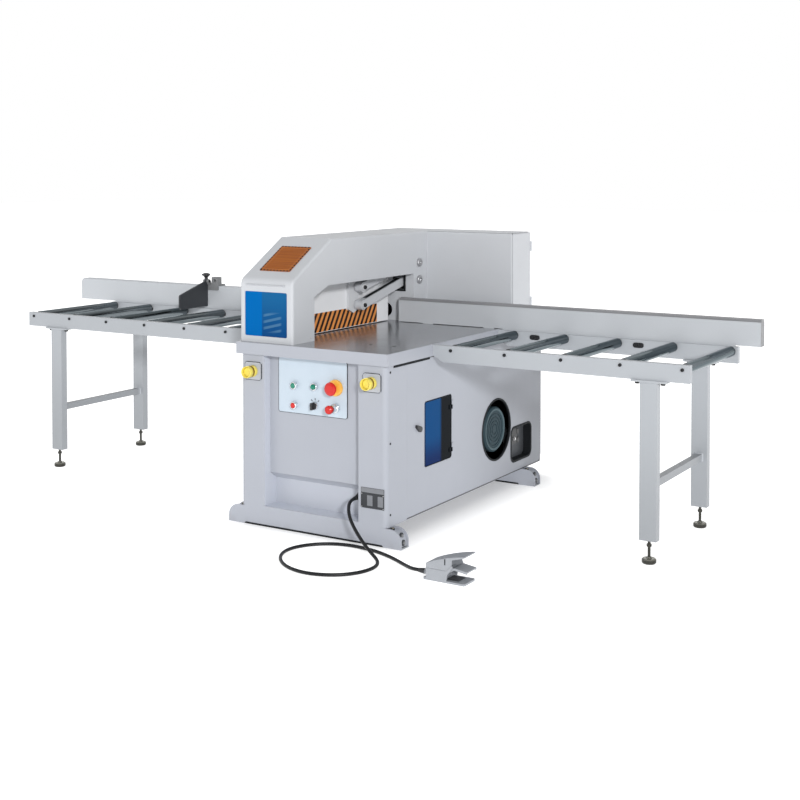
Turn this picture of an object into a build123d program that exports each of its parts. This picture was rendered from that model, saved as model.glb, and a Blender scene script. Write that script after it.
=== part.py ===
from build123d import *
from math import asin, atan2, cos, degrees, hypot, pi, radians, sin, sqrt, tan
import os

# Driving dimensions in millimetres. X runs along the feed, Y to the rear, Z up from the floor.
# While the pieces are made, x = 0 is the middle of the cabinet and y = 0 its front face.

# Fits
running_fit = 0.05
face_gap = 0.5
travel_gap = 4.0

# Sheet and plate
sheet = 3.0
hood_sheet = 4.0
base_plate = 8.0

# Cabinet
cabinet_width = 800.0
cabinet_depth = 1560.0
post_size = 50.0
panel_fold = 172.0
panel_round = 24.0
panel_corner = 40.0
chute_width = 70.0

# Foot bars: two plates with an inset web between them
foot_height = 84.0
foot_width = 65.0
foot_reach = 74.0
foot_wall = 6.0
foot_inset = 9.0
foot_arch = 9.0
foot_pad = 90.0
foot_round = 55.0
rear_foot_back = 159.0

# Table top: a plate with a rim and ribs underneath
table_height = 850.0
table_width = 830.0
table_thickness = 54.0
table_overhang = 16.0
table_plate = 20.0
table_rim = 40.0
table_rib = 14.0
table_bays = 3

# Recess in the front panel
recess_left = -265.0
recess_right = 250.0
recess_depth = 45.0
recess_low_depth = 90.0
recess_step = 246.0
recess_slant = 33.0
recess_edge = 6.0

# Openings in the right side panel
window_y = 453.0
window_z = 440.0
window_width = 252.0
window_height = 303.0
window_corner = 12.0
motor_hole = 152.0
access_back = 238.0
access_z = 230.0
access_width = 228.0
access_height = 173.0
access_corner = 32.0
latch_y = 277.0
latch_z = 475.0

# Saw blade and swing arm
blade_x = -280.0
blade_radius = 300.0
blade_thickness = 4.0
blade_teeth = 48
tooth_depth = 11.0
slot_width = 14.0
pivot_y = 1043.5
pivot_drop = 454.5
arm_length = 450.0
park_gap = 8.0
cut_height = 172.0
arm_left = -150.0
arm_right = -90.0
pivot_shaft = 25.0
arm_hub = 45.0
hub_length = 116.0
arbor_shaft = 20.0
arbor_housing = 42.0
housing_left = -236.0
housing_right = -40.0
flange_radius = 55.0
flange_thickness = 9.0
bearing_width = 30.0
bearing_gap = 7.0
bearing_half = 60.0
bearing_seat = 60.0

# Belt drive and motor
belt_x = 20.0
belt_width = 42.0
belt_thickness = 7.0
arbor_pulley = 60.0
motor_pulley = 75.0
motor_plate_x = 56.0
motor_plate = 12.0
motor_length = 325.0
motor_radius = 104.0
motor_fins = 20
fin_height = 9.0
fin_thickness = 4.0
fan_cover = 113.0
fan_cover_length = 84.0
cover_rim = 22.0
cover_dish = 5.0
cover_rings = 4
motor_shaft = 19.0
shaft_depth = 60.0
terminal_box = 100.0
terminal_height = 45.0

# Lift cylinder under the swing arm
lift_reach = 136.0
lever_thickness = 24.0
lever_pin = 9.0
lever_play = 1.4
lift_bore = 33.0
lift_wall = 6.0
lift_rod_radius = 11.0
lift_head = 14.0
lift_end = 8.0
lift_piston = 16.0
lift_spare = 5.0
fork_gap = 14.0

# Hood, rear column and rear box
hood_width = 302.0
hood_front_y = 20.0
hood_front_rise = 288.0
hood_rise = 471.0
hood_slope = 315.0
hood_setback = 122.0
hood_round = 12.0
hood_fold = 40.0
hood_skirt = 44.0
post_depth = 173.0
mouth_low = 205.0
mouth_high = 251.0
mouth_slant = 116.0
column_gap = 4.0
front_window_x = -270.0
front_window_width = 242.0
front_window_height = 207.0
front_window_rise = 28.0
lip_gap = 26.0
lip_height = 11.0
lip_reach = 7.0
grille_width = 174.0
grille_length = 206.0
grille_up = 179.0
grille_bars = 21
grille_thickness = 3.0
dust_hole = 37.0
dust_rise = 54.0
box_depth = 204.0
box_right = 394.0
door_thickness = 3.0
door_hinge_radius = 6.0
hinge_low = 102.0
hinge_high = 394.0
hinge_length = 52.0

# Hold-down guard and its parallel arms
guard_half_gap = 31.0
guard_plate = 4.0
guard_lift = 5.0
guard_front = 215.0
guard_past_fence = 5.0
guard_front_rise = 205.0
guard_rise = 300.0
guard_chamfer = 130.0
guard_bracket = 16.0
bracket_front = 652.0
bracket_rear = 740.0
bracket_low = 96.0
bracket_point = 20.0
bracket_high = 250.0
clamp_back = 54.0
clamp_rise = 217.0
clamp_reach = 432.0
clamp_drop = 101.0
clamp_spacing = 90.0
clamp_travel = 130.0
clamp_arm_x = -204.0
clamp_arm_width = 36.0
clamp_arm_height = 44.0
clamp_boss = 25.0
clamp_pin = 12.0
trunnion = 14.0
clamp_tail = 70.0
tail_thickness = 16.0
tail_pin = 6.0
clamp_bore = 25.0
clamp_rod_radius = 9.0
clamp_barrel = 132.0

# Roller tables
rail_front = 376.0
rail_span = 652.0
rail_thickness = 30.0
rail_height = 75.0
rail_drop = 3.0
rail_wall = 4.0
rail_cut_length = 52.0
rail_cut_height = 28.0
roller_radius = 23.0
roller_wall = 4.0
roller_plug = 22.0
roller_end_gap = 6.0
roller_pitch = 272.7
left_roller_count = 7
right_roller_count = 5
left_table_gap = 106.4
right_table_gap = 94.0
left_rail_margin = 39.4
right_rail_margin = 31.2
axle_radius = 5.5
axle_head = 7.0
axle_head_height = 5.0

# Leg frames
left_leg_in = 216.0
right_leg_in = 176.0
leg_width = 76.0
leg_depth = 40.0
leg_wall = 4.0
leg_inset = 5.0
leg_bottom = 97.0
leg_flange = 156.0
leg_flange_thickness = 8.0
brace_size = 32.0
brace_height = 312.0
stem_radius = 6.5
foot_disc = 31.0
foot_thickness = 22.0

# Fences
fence_setback = 14.0
fence_pad = 60.0
fence_pad_inset = 20.0
fence_thickness = 50.0
fence_lift = 2.5
left_fence_height = 126.5
right_fence_height = 110.5
fence_strip = 12.0
left_fence_past = 263.0
right_fence_past = 101.0
left_fence_stop = -330.0
right_fence_start = -175.0
fence_round = 26.0
fence_edge = 8.0
fence_wall = 4.0

# Length stop on the left fence
stop_x = -1457.0
stop_thickness = 10.0
stop_length = 242.0
stop_front_height = 80.0
stop_rear_height = 150.0
stop_lift = 12.0
stop_corner = 14.0
stop_hub = 15.0
stop_lug = 14.0
stop_pin = 5.0
carriage_left_reach = 62.0
carriage_right_reach = 77.0
carriage_wall = 8.0
carriage_grip = 24.0
anvil_length = 46.0
anvil_depth = 34.0
anvil_height = 42.0
anvil_hole = 9.0
knob_offset = 36.0
knob_radius = 26.0
knob_height = 14.0
knob_boss = 12.0
knob_stem = 34.0

# Control panel
panel_left = -212.0
panel_right = 167.0
panel_height = 253.0
panel_drop = 8.0
panel_plate = 4.0
column_left_x = -120.0
column_mid_x = -7.0
column_right_x = 107.0
row_drop = 133.0
row_pitch = 91.0
lamp_rise = 4.0
selector_rise = 8.0
right_rise = 8.0
button_radius = 12.0
collar_wall = 4.0
collar_depth = 13.0
button_travel = 5.0
mushroom_radius = 20.0
mushroom_reach = 56.0
emergency_radius = 31.0
emergency_base = 36.0
emergency_reach = 44.0
palm_x = 326.0
palm_drop = 78.0
palm_plate_width = 92.0
palm_plate_height = 82.0
palm_tube = 27.0
palm_tube_wall = 4.0
palm_tube_depth = 50.0
palm_flange = 33.0
palm_flange_depth = 12.0
palm_notch = 16.0
palm_recess = 6.0
palm_travel = 8.0

# Air filter and regulator behind the side window
air_inset = 62.0
air_bowl = 28.0
air_bowl_length = 100.0
air_knob = 20.0
air_knob_length = 44.0
air_spacing = 90.0
air_body_height = 50.0
air_body_width = 168.0
air_body_depth = 68.0
air_plate = 6.0
gauge_radius = 22.0
gauge_depth = 14.0

# Pedal and cord
pedal_left = 752.0
pedal_length = 191.0
pedal_front = -288.0
pedal_width = 94.0
pedal_base = 8.0
pedal_corner = 8.0
pedal_inset = 14.0
pedal_wall = 5.0
pedal_split = 48.0
pedal_back_height = 68.0
pedal_tip_height = 117.0
pedal_crown = 6.0
pedal_box = 84.0
cheek_length = 132.0
cheek_rise = 25.0
split_groove = 2.0
treadle_thickness = 5.0
treadle_back = 107.0
treadle_pivot = 36.0
treadle_pin = 5.0
treadle_rise = 20.0
treadle_droop = 8.0
treadle_skirt = 9.0
treadle_over = 8.0
cord_radius = 7.5
plug_length = 12.0
plug_radius = 11.0
plug_y = -248.0
plug_z = 20.0
gland_x = 206.0
gland_z = 184.0
gland_radius = 14.0
gland_nut = 19.0
gland_nut_depth = 8.0
gland_length = 22.0

# Heights and faces that follow from the sizes above
table_bottom = table_height - table_thickness
table_half = table_width / 2
table_front = -table_overhang
table_rear = cabinet_depth
cabinet_half = cabinet_width / 2
floor_plate_top = foot_height + base_plate
rear_foot_y = cabinet_depth - rear_foot_back - foot_width
access_y = cabinet_depth - access_back
pivot_z = table_bottom - pivot_drop
hood_left = -table_half - hood_sheet
hood_right = hood_left + hood_width
hood_front_top = table_height + hood_front_rise
hood_top = table_height + hood_rise
hood_rear = table_rear - hood_setback
box_front = hood_rear - box_depth
rail_top = table_height - rail_drop
rail_bottom = rail_top - rail_height
rail_rear = rail_front + rail_span
roller_axis = table_height - roller_radius
fence_front = rail_rear + fence_setback
fence_bottom = table_height + fence_lift
column_front = fence_front + fence_thickness + column_gap
guard_rear = fence_front + guard_past_fence
clamp_rear_y = column_front + clamp_back
clamp_rear_z = table_height + clamp_rise
panel_high = table_bottom - panel_drop
panel_low = panel_high - panel_height
row_high = table_bottom - row_drop
row_low = row_high - row_pitch
palm_z = table_bottom - palm_drop
lamp_z = row_high + lamp_rise
emergency_z = row_high + right_rise
selector_z = row_low + selector_rise
mushroom_z = row_low + right_rise

# Rollers are counted from the table outward; the rails, legs and fences end where they need to
left_rollers = [-table_half - left_table_gap - roller_pitch * k for k in reversed(range(left_roller_count))]
right_rollers = [table_half + right_table_gap + roller_pitch * k for k in range(right_roller_count)]
left_table_end = left_rollers[0] - left_rail_margin
right_table_end = right_rollers[-1] + right_rail_margin
left_leg_x = left_table_end + left_leg_in
right_leg_x = right_table_end - right_leg_in
left_fence_end = left_table_end - left_fence_past
right_fence_end = right_table_end + right_fence_past

# Swing of the blade: parked under the table top, raised to the cutting height
arbor_park_z = table_bottom - park_gap - blade_radius
arbor_raised_z = table_height + cut_height - blade_radius
park_angle = asin((arbor_park_z - pivot_z) / arm_length)
raised_angle = asin((arbor_raised_z - pivot_z) / arm_length)
swing = raised_angle - park_angle
arbor_y = pivot_y - arm_length * cos(park_angle)
arbor_z = arbor_park_z

# Hold-down arms: the guard hangs level on two equal arms
clamp_length = hypot(clamp_reach, clamp_drop)
clamp_angle = atan2(clamp_drop, clamp_reach)
clamp_raised_angle = asin((clamp_drop - clamp_travel) / clamp_length)
clamp_swing = clamp_angle - clamp_raised_angle
clamp_front_y = clamp_rear_y - clamp_reach
clamp_front_z = clamp_rear_z - clamp_drop

nodes = {}


def block(x0, x1, y0, y1, z0, z1):
    middle = Pos((x0 + x1) / 2, (y0 + y1) / 2, (z0 + z1) / 2)
    return middle * Box(x1 - x0, y1 - y0, z1 - z0)


def disc_x(y, z, radius, x0, x1):
    return Pos((x0 + x1) / 2, y, z) * Rot(0, 90, 0) * Cylinder(radius, x1 - x0)


def disc_y(x, z, radius, y0, y1):
    return Pos(x, (y0 + y1) / 2, z) * Rot(90, 0, 0) * Cylinder(radius, y1 - y0)


def disc_z(x, y, radius, z0, z1):
    return Pos(x, y, (z0 + z1) / 2) * Cylinder(radius, z1 - z0)


def outline(points):
    return make_face(Polyline(*points, close=True))


def slab_x(face, x0, x1):
    return Pos(x0, 0, 0) * extrude(Plane.YZ * face, x1 - x0)


def slab_y(face, y0, y1):
    return Pos(0, y1, 0) * extrude(Plane.XZ * face, y1 - y0)


def slab_z(face, z0, z1):
    return Pos(0, 0, z0) * extrude(face, z1 - z0)


def turned_x(points, y, z):
    # Points are (x, radius); the solid is turned about an axis along X at y, z.
    face = make_face(Polyline(*points, close=True))
    return Pos(0, y, z) * revolve(Plane.XY * face, Axis.X)


def turned_y(points, x, z):
    # Points are (radius, y); the solid is turned about an axis along Y at x, z.
    face = make_face(Polyline(*points, close=True))
    return Pos(x, 0, z) * revolve(Plane.XY * face, Axis.Y)


def turned_z(points, x, y):
    # Points are (radius, z); the solid is turned about an axis along Z at x, y.
    face = make_face(Polyline(*points, close=True))
    return Pos(x, y, 0) * revolve(Plane.XZ * face, Axis.Z)


def wrap(centre_a, radius_a, centre_b, radius_b):
    # Outline of a taut band round two circles, as a face.
    across = centre_b[0] - centre_a[0]
    up = centre_b[1] - centre_a[1]
    distance = hypot(across, up)
    along = atan2(up, across)
    lean = asin((radius_a - radius_b) / distance)
    ends = []
    for side in (1, -1):
        turn = along + side * (pi / 2 - lean)
        for centre, radius in ((centre_a, radius_a), (centre_b, radius_b)):
            ends.append((centre[0] + radius * cos(turn), centre[1] + radius * sin(turn)))
    strip = outline([ends[0], ends[1], ends[3], ends[2]])
    return strip + Pos(*centre_a) * Circle(radius_a) + Pos(*centre_b) * Circle(radius_b)


def polar(y, z, length, angle):
    return y + length * cos(angle), z + length * sin(angle)


def group(solids):
    return Compound(list(solids))


# Table top with the blade slot: the slot takes the whole sweep of the blade
def blade_sweep():
    low, high = [], []
    for step in range(21):
        angle = park_angle + swing * step / 20
        centre_y = pivot_y - arm_length * cos(angle)
        centre_z = pivot_z + arm_length * sin(angle)
        for level in (table_bottom, table_height):
            rest = blade_radius**2 - (level - centre_z) ** 2
            if rest > 0:
                low.append(centre_y - sqrt(rest))
                high.append(centre_y + sqrt(rest))
    return min(low) - travel_gap, max(high) + travel_gap


slot_front, slot_rear = blade_sweep()
table = block(-table_half, table_half, table_front, table_rear, table_bottom, table_height)
table -= block(blade_x - slot_width / 2, blade_x + slot_width / 2, slot_front, slot_rear,
               table_bottom, table_height)
plate_under = table_height - table_plate
bay_front = recess_depth + sheet + table_rim
bay_rear = table_rear - post_size - table_rim
blade_bay = blade_x + slot_width + table_rim
table -= block(-table_half + table_rim, blade_bay, bay_front, bay_rear, table_bottom, plate_under)
bay_length = (bay_rear - bay_front - (table_bays - 1) * table_rib) / table_bays
for index in range(table_bays):
    y0 = bay_front + index * (bay_length + table_rib)
    table -= block(blade_bay + table_rib, table_half - table_rim, y0, y0 + bay_length,
                   table_bottom, plate_under)
nodes["table_top"] = table


# Cabinet frame: base plate, posts, top beams, foot bars, bearing pedestals and the motor plate
def foot_profile(inset, low):
    reach = cabinet_half + foot_reach - inset
    top = foot_height - inset
    shape = outline([(-reach, low), (reach, low), (reach, top), (-reach, top)])
    return fillet(shape.vertices().filter_by(lambda v: v.Y > top - 1), foot_round - inset)


def foot_bar(y0):
    y1 = y0 + foot_width
    pad = cabinet_half + foot_reach - foot_pad
    arch = outline([(-pad, 0), (-pad + foot_arch, foot_arch), (pad - foot_arch, foot_arch), (pad, 0)])
    plate = foot_profile(0, 0) - arch
    web = foot_profile(foot_inset, foot_arch) - foot_profile(foot_inset + foot_wall, 0)
    bar = slab_y(plate, y0, y0 + foot_wall) + slab_y(plate, y1 - foot_wall, y1)
    return bar + slab_y(web, y0 + foot_wall, y1 - foot_wall)


inside = cabinet_half - sheet
post_in = inside - post_size
rear_inside = cabinet_depth - sheet
beam_low = table_bottom - post_size
lift_x = (arm_left + arm_right) / 2
lift_y = pivot_y - lift_reach
floor_plate = block(-inside, inside, panel_round, rear_inside, foot_height, floor_plate_top)
floor_plate -= block(blade_x - chute_width / 2, blade_x + chute_width / 2, arbor_y - blade_radius,
                     arbor_y + blade_radius, foot_height, floor_plate_top)
floor_plate -= disc_z(lift_x, lift_y, lift_bore + lift_wall + running_fit, foot_height, floor_plate_top)
frame_parts = [floor_plate, foot_bar(0), foot_bar(rear_foot_y)]
front_post_y = panel_fold + face_gap
for side in (-1, 1):
    x0, x1 = sorted((side * post_in, side * inside))
    for y0 in (front_post_y, rear_inside - post_size):
        frame_parts.append(block(x0, x1, y0, y0 + post_size, floor_plate_top, table_bottom))
    frame_parts.append(block(x0, x1, front_post_y + post_size, rear_inside - post_size,
                             beam_low, table_bottom))
frame_parts.append(block(-post_in, post_in, rear_inside - post_size, rear_inside, beam_low, table_bottom))

hub_left = (arm_left + arm_right) / 2 - hub_length / 2
hub_right = hub_left + hub_length
bearing_spans = [
    (hub_left - bearing_gap - bearing_width, hub_left - bearing_gap),
    (hub_right + bearing_gap, hub_right + bearing_gap + bearing_width),
]
seat_top = pivot_z - bearing_seat
for x0, x1 in bearing_spans:
    frame_parts.append(block(x0, x1, pivot_y - bearing_half, pivot_y + bearing_half,
                             floor_plate_top, seat_top))
motor_plate_top = pivot_z + motor_radius + 30
motor_plate_half = motor_radius + 40
plate = block(motor_plate_x, motor_plate_x + motor_plate, pivot_y - motor_plate_half,
              pivot_y + motor_plate_half, floor_plate_top, motor_plate_top)
plate -= disc_x(pivot_y, pivot_z, motor_shaft * 2, motor_plate_x, motor_plate_x + motor_plate)
frame_parts.append(plate)
nodes["cabinet_frame"] = group(frame_parts)


# Front panel: face plate, folded sides and the recess for the controls
recess_floor = floor_plate_top + sheet
slant_end = recess_step - recess_slant
recess_path = [
    (recess_depth, table_bottom), (recess_depth, recess_step),
    (recess_low_depth, slant_end), (recess_low_depth, recess_floor), (0, recess_floor),
]
slant_share = sheet * tan(atan2(recess_low_depth - recess_depth, recess_slant) / 2)
recess_back = [
    (0, recess_floor - sheet), (recess_low_depth + sheet, recess_floor - sheet),
    (recess_low_depth + sheet, slant_end + slant_share), (recess_depth + sheet, recess_step + slant_share),
    (recess_depth + sheet, table_bottom),
]


def folded_sheet(inset):
    half = cabinet_half - inset
    shape = outline([(-half, inset), (half, inset), (half, panel_fold), (-half, panel_fold)])
    return fillet(shape.vertices().filter_by(lambda v: v.Y < inset + 1), panel_round - inset)


front = slab_z(folded_sheet(0) - folded_sheet(sheet), foot_height, table_bottom)
front -= block(recess_left, recess_right, 0, sheet, recess_floor, table_bottom)
front += slab_x(outline(recess_path + recess_back), recess_left - sheet, recess_right + sheet)
cheek = outline([(0, table_bottom)] + recess_path)
front += slab_x(cheek, recess_left - sheet, recess_left)
front += slab_x(cheek, recess_right, recess_right + sheet)
front -= disc_y(gland_x, gland_z, cord_radius + face_gap, recess_low_depth, recess_low_depth + sheet)
recess_edges = front.edges().filter_by(Axis.Z).filter_by(
    lambda e: abs(e.center().Y) < 0.1 and recess_left - 1 < e.center().X < recess_right + 1)
front = fillet(recess_edges, recess_edge)
nodes["front_panel"] = front


# Side and rear panels; only the right one is seen, with its openings
def side_outline():
    shape = outline([
        (panel_fold + face_gap, floor_plate_top), (cabinet_depth, floor_plate_top),
        (cabinet_depth, table_bottom), (panel_fold + face_gap, table_bottom),
    ])
    low_rear = shape.vertices().filter_by(lambda v: v.X > cabinet_depth - 1 and v.Y < floor_plate_top + 1)
    return fillet(low_rear, panel_corner)


right_face = side_outline()
right_face -= Pos(window_y, window_z) * RectangleRounded(window_width, window_height, window_corner)
right_face -= Pos(pivot_y, pivot_z) * Circle(motor_hole)
right_face -= Pos(access_y, access_z) * RectangleRounded(access_width, access_height, access_corner)
right_panel = slab_x(right_face, inside, cabinet_half)
right_panel -= disc_x(latch_y, latch_z, axle_radius, inside, cabinet_half)
window_hinge_x = cabinet_half + 4
window_hinge_y = window_y + window_width / 2 + 1
window_knuckle = 4.0
window_pin = 2.0
window_hinges = [window_z - window_height / 3, window_z + window_height / 3]
for z in window_hinges:
    knuckle = disc_z(window_hinge_x, window_hinge_y, window_knuckle, z, z + 20)
    knuckle += disc_z(window_hinge_x, window_hinge_y, window_pin, z - 20, z)
    knuckle += block(cabinet_half, window_hinge_x, window_hinge_y, window_hinge_y + 18, z, z + 20)
    right_panel += knuckle
left_panel = slab_x(side_outline(), -cabinet_half, -inside)
rear_panel = block(-inside, inside, rear_inside, cabinet_depth, floor_plate_top, table_bottom)
nodes["cabinet_panels"] = group([right_panel, left_panel, rear_panel])

pane_face = RectangleRounded(window_width - travel_gap, window_height - travel_gap, window_corner)
pane = slab_x(Pos(window_y, window_z) * pane_face, cabinet_half - 4, cabinet_half + 1)
for z in window_hinges:
    leaf = block(cabinet_half + 1, window_hinge_x, window_hinge_y - 26, window_hinge_y,
                 z - 20, z - face_gap)
    leaf += disc_z(window_hinge_x, window_hinge_y, window_knuckle, z - 20, z - face_gap)
    leaf -= disc_z(window_hinge_x, window_hinge_y, window_pin + running_fit, z - 20, z)
    pane += leaf
nodes["side_window"] = pane

latch = disc_x(latch_y, latch_z, axle_radius - running_fit, inside, cabinet_half)
latch_face = wrap((latch_y, latch_z), 13, (latch_y - 26, latch_z + 15), 7)
latch += slab_x(latch_face, cabinet_half, cabinet_half + 12)
nodes["window_latch"] = latch

# Pivot shaft and its two bearing blocks
shaft = disc_x(pivot_y, pivot_z, pivot_shaft, bearing_spans[0][0], bearing_spans[1][1])
for x0, x1 in bearing_spans:
    face = wrap((pivot_y, pivot_z), pivot_shaft * 2, (pivot_y, pivot_z - 1), pivot_shaft * 2)
    face += outline([
        (pivot_y - bearing_half, seat_top), (pivot_y + bearing_half, seat_top),
        (pivot_y + bearing_half, seat_top + 22), (pivot_y + pivot_shaft * 2, pivot_z),
        (pivot_y - pivot_shaft * 2, pivot_z), (pivot_y - bearing_half, seat_top + 22),
    ])
    shaft += slab_x(face, x0, x1)
nodes["pivot_bearings"] = shaft

# Swing arm: hub, web, arbor housing and the slotted lever for the lift cylinder
lever_angle = pi + swing / 2
lever_far = lift_reach / cos(swing / 2)
lever_slip = lever_far - lift_reach
lever_y, lever_z = polar(pivot_y, pivot_z, (lift_reach + lever_far) / 2, lever_angle)
lever_x0 = lift_x - lever_thickness / 2
lever_x1 = lift_x + lever_thickness / 2
arm = slab_x(wrap((pivot_y, pivot_z), arm_hub, (arbor_y, arbor_z), arbor_housing), arm_left, arm_right)
arm += disc_x(pivot_y, pivot_z, arm_hub, hub_left, hub_right)
arm += disc_x(arbor_y, arbor_z, arbor_housing, housing_left, housing_right)
lever_face = wrap((pivot_y, pivot_z), arm_hub * 0.8, (lever_y, lever_z), lever_pin * 2.4)
arm += slab_x(lever_face, lever_x0, lever_x1)
eye = Pos(lever_y, lever_z) * Rot(0, 0, degrees(lever_angle)) * SlotCenterToCenter(
    lever_slip + 2 * lever_play, (lever_pin + lever_play) * 2)
arm -= slab_x(eye, lever_x0, lever_x1)
arm -= disc_x(pivot_y, pivot_z, pivot_shaft + running_fit, hub_left, hub_right)
arm -= disc_x(arbor_y, arbor_z, arbor_shaft + running_fit, housing_left, housing_right)
nodes["swing_arm"] = arm

# Saw blade with raked teeth
blade_face = Circle(blade_radius - tooth_depth)
pitch = 2 * pi / blade_teeth
for index in range(blade_teeth):
    turn = index * pitch
    root = blade_radius - tooth_depth - 2
    blade_face += outline([
        (root * cos(turn), root * sin(turn)),
        (blade_radius * cos(turn + 0.12 * pitch), blade_radius * sin(turn + 0.12 * pitch)),
        (blade_radius * cos(turn + 0.25 * pitch), blade_radius * sin(turn + 0.25 * pitch)),
        (root * cos(turn + 0.85 * pitch), root * sin(turn + 0.85 * pitch)),
    ])
blade_bore = arbor_shaft - 4
blade_face -= Circle(blade_bore)
blade_half = blade_thickness / 2
blade = slab_x(Pos(arbor_y, arbor_z) * blade_face, blade_x - blade_half, blade_x + blade_half)
nodes["saw_blade"] = blade

# Arbor: shaft, clamping flanges, nut and pulley
blade_left = blade_x - blade_half
blade_right = blade_x + blade_half
belt_left = belt_x - belt_width / 2 - 3
belt_right = belt_x + belt_width / 2 + 3
nut_left = blade_left - flange_thickness - 14
nodes["arbor"] = turned_x([
    (nut_left, 0), (nut_left, blade_bore * 1.4), (blade_left - flange_thickness, blade_bore * 1.4),
    (blade_left - flange_thickness, flange_radius), (blade_left, flange_radius),
    (blade_left, blade_bore - running_fit), (blade_right, blade_bore - running_fit),
    (blade_right, flange_radius),
    (blade_right + flange_thickness, flange_radius), (blade_right + flange_thickness, arbor_shaft),
    (belt_left, arbor_shaft), (belt_left, arbor_pulley + 4), (belt_left + 3, arbor_pulley),
    (belt_right - 3, arbor_pulley), (belt_right, arbor_pulley + 4), (belt_right, 0),
], arbor_y, arbor_z)

# Motor pulley on the motor's shaft
motor_left = motor_plate_x + motor_plate
shaft_end = motor_left + shaft_depth
nodes["motor_pulley"] = turned_x([
    (belt_left, 0), (belt_left, motor_pulley + 4), (belt_left + 3, motor_pulley),
    (belt_right - 3, motor_pulley), (belt_right, motor_pulley + 4), (belt_right, motor_shaft),
    (shaft_end, motor_shaft), (shaft_end, 0),
], pivot_y, pivot_z)

# Belt: a closed band that rides with the swing arm
belt_gap = 0.3
outer_band = wrap((pivot_y, pivot_z), motor_pulley + belt_gap + belt_thickness,
                  (arbor_y, arbor_z), arbor_pulley + belt_gap + belt_thickness)
inner_band = wrap((pivot_y, pivot_z), motor_pulley + belt_gap, (arbor_y, arbor_z), arbor_pulley + belt_gap)
belt = slab_x(outer_band - inner_band, belt_x - belt_width / 2, belt_x + belt_width / 2)
nodes["drive_belt"] = belt

# Motor: flange, finned body with its terminal box and a dished fan cover with ring slots
motor_right = motor_left + motor_length
cover_left = motor_right - fan_cover_length
ring_depth = 3
dish_face = motor_right - cover_dish
dish_radius = fan_cover - cover_rim
cover_points = [
    (cover_left, 0), (cover_left, fan_cover), (motor_right - 8, fan_cover), (motor_right, fan_cover - 8),
    (motor_right, dish_radius + cover_dish), (dish_face, dish_radius),
]
ring_step = dish_radius / (cover_rings + 1)
for ring in range(cover_rings):
    outer = dish_radius - (ring + 0.5) * ring_step
    inner = outer - ring_step * 0.3
    cover_points += [
        (dish_face, outer), (dish_face - ring_depth, outer),
        (dish_face - ring_depth, inner), (dish_face, inner),
    ]
cover_points.append((dish_face, 0))
motor_flange = motor_left + 14
body = turned_x([
    (motor_left, motor_shaft + running_fit), (motor_left, motor_radius + 20),
    (motor_flange, motor_radius + 20), (motor_flange, motor_radius),
    (cover_left, motor_radius), (cover_left, 0),
    (shaft_end + 2, 0), (shaft_end + 2, motor_shaft + running_fit),
], pivot_y, pivot_z)
fin_face = Pos(motor_radius, 0) * Rectangle(2 * fin_height, fin_thickness)
for index in range(motor_fins):
    fin = slab_x(Rot(0, 0, 360 * index / motor_fins) * fin_face, motor_flange, cover_left)
    body += Pos(0, pivot_y, pivot_z) * fin
box_left = motor_left + shaft_depth
body += block(box_left, box_left + terminal_box, pivot_y - terminal_box / 2, pivot_y + terminal_box / 2,
              pivot_z + motor_radius * 0.7, pivot_z + motor_radius + terminal_height)
nodes["motor"] = body + turned_x(cover_points, pivot_y, pivot_z)

# Lift cylinder let into the base plate, its square mount and its rod with a fork round the lever
lift_stroke = 2 * lift_reach * tan(swing / 2)
lift_pin_z = pivot_z - lift_stroke / 2
fork_low = lift_pin_z - lever_pin * 2.4 - lever_slip - 16
barrel_top = fork_low - fork_gap
barrel_low = barrel_top - lift_head - lift_piston - lift_stroke - lift_end - 2 * lift_spare
barrel_outer = lift_bore + lift_wall
lift_mount = barrel_outer + lift_wall
cylinder = turned_z([
    (0, barrel_low), (barrel_outer, barrel_low), (barrel_outer, barrel_top),
    (lift_rod_radius + running_fit, barrel_top), (lift_rod_radius + running_fit, barrel_top - lift_head),
    (lift_bore, barrel_top - lift_head), (lift_bore, barrel_low + lift_end), (0, barrel_low + lift_end),
], lift_x, lift_y)
mount = block(lift_x - lift_mount, lift_x + lift_mount, lift_y - lift_mount, lift_y + lift_mount,
              floor_plate_top, barrel_top - lift_head)
nodes["lift_cylinder"] = cylinder + (mount - disc_z(lift_x, lift_y, lift_bore, floor_plate_top, barrel_top))
piston_low = barrel_low + lift_end + lift_spare
rod = turned_z([
    (0, piston_low), (lift_bore - running_fit, piston_low),
    (lift_bore - running_fit, piston_low + lift_piston), (lift_rod_radius, piston_low + lift_piston),
    (lift_rod_radius, fork_low), (0, fork_low),
], lift_x, lift_y)
fork_half = lever_thickness / 2 + face_gap
cheek_face = wrap((lift_y, fork_low + 10), 14, (lift_y, lift_pin_z), 16)
rod += slab_x(cheek_face, lift_x - fork_half - 10, lift_x + fork_half + 10)
rod -= block(lift_x - fork_half, lift_x + fork_half, lift_y - 40, lift_y + 40,
             fork_low + 8, lift_pin_z + 40)
rod += disc_x(lift_y, lift_pin_z, lever_pin, lift_x - fork_half - 10, lift_x + fork_half + 10)
nodes["lift_rod"] = rod


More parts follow.
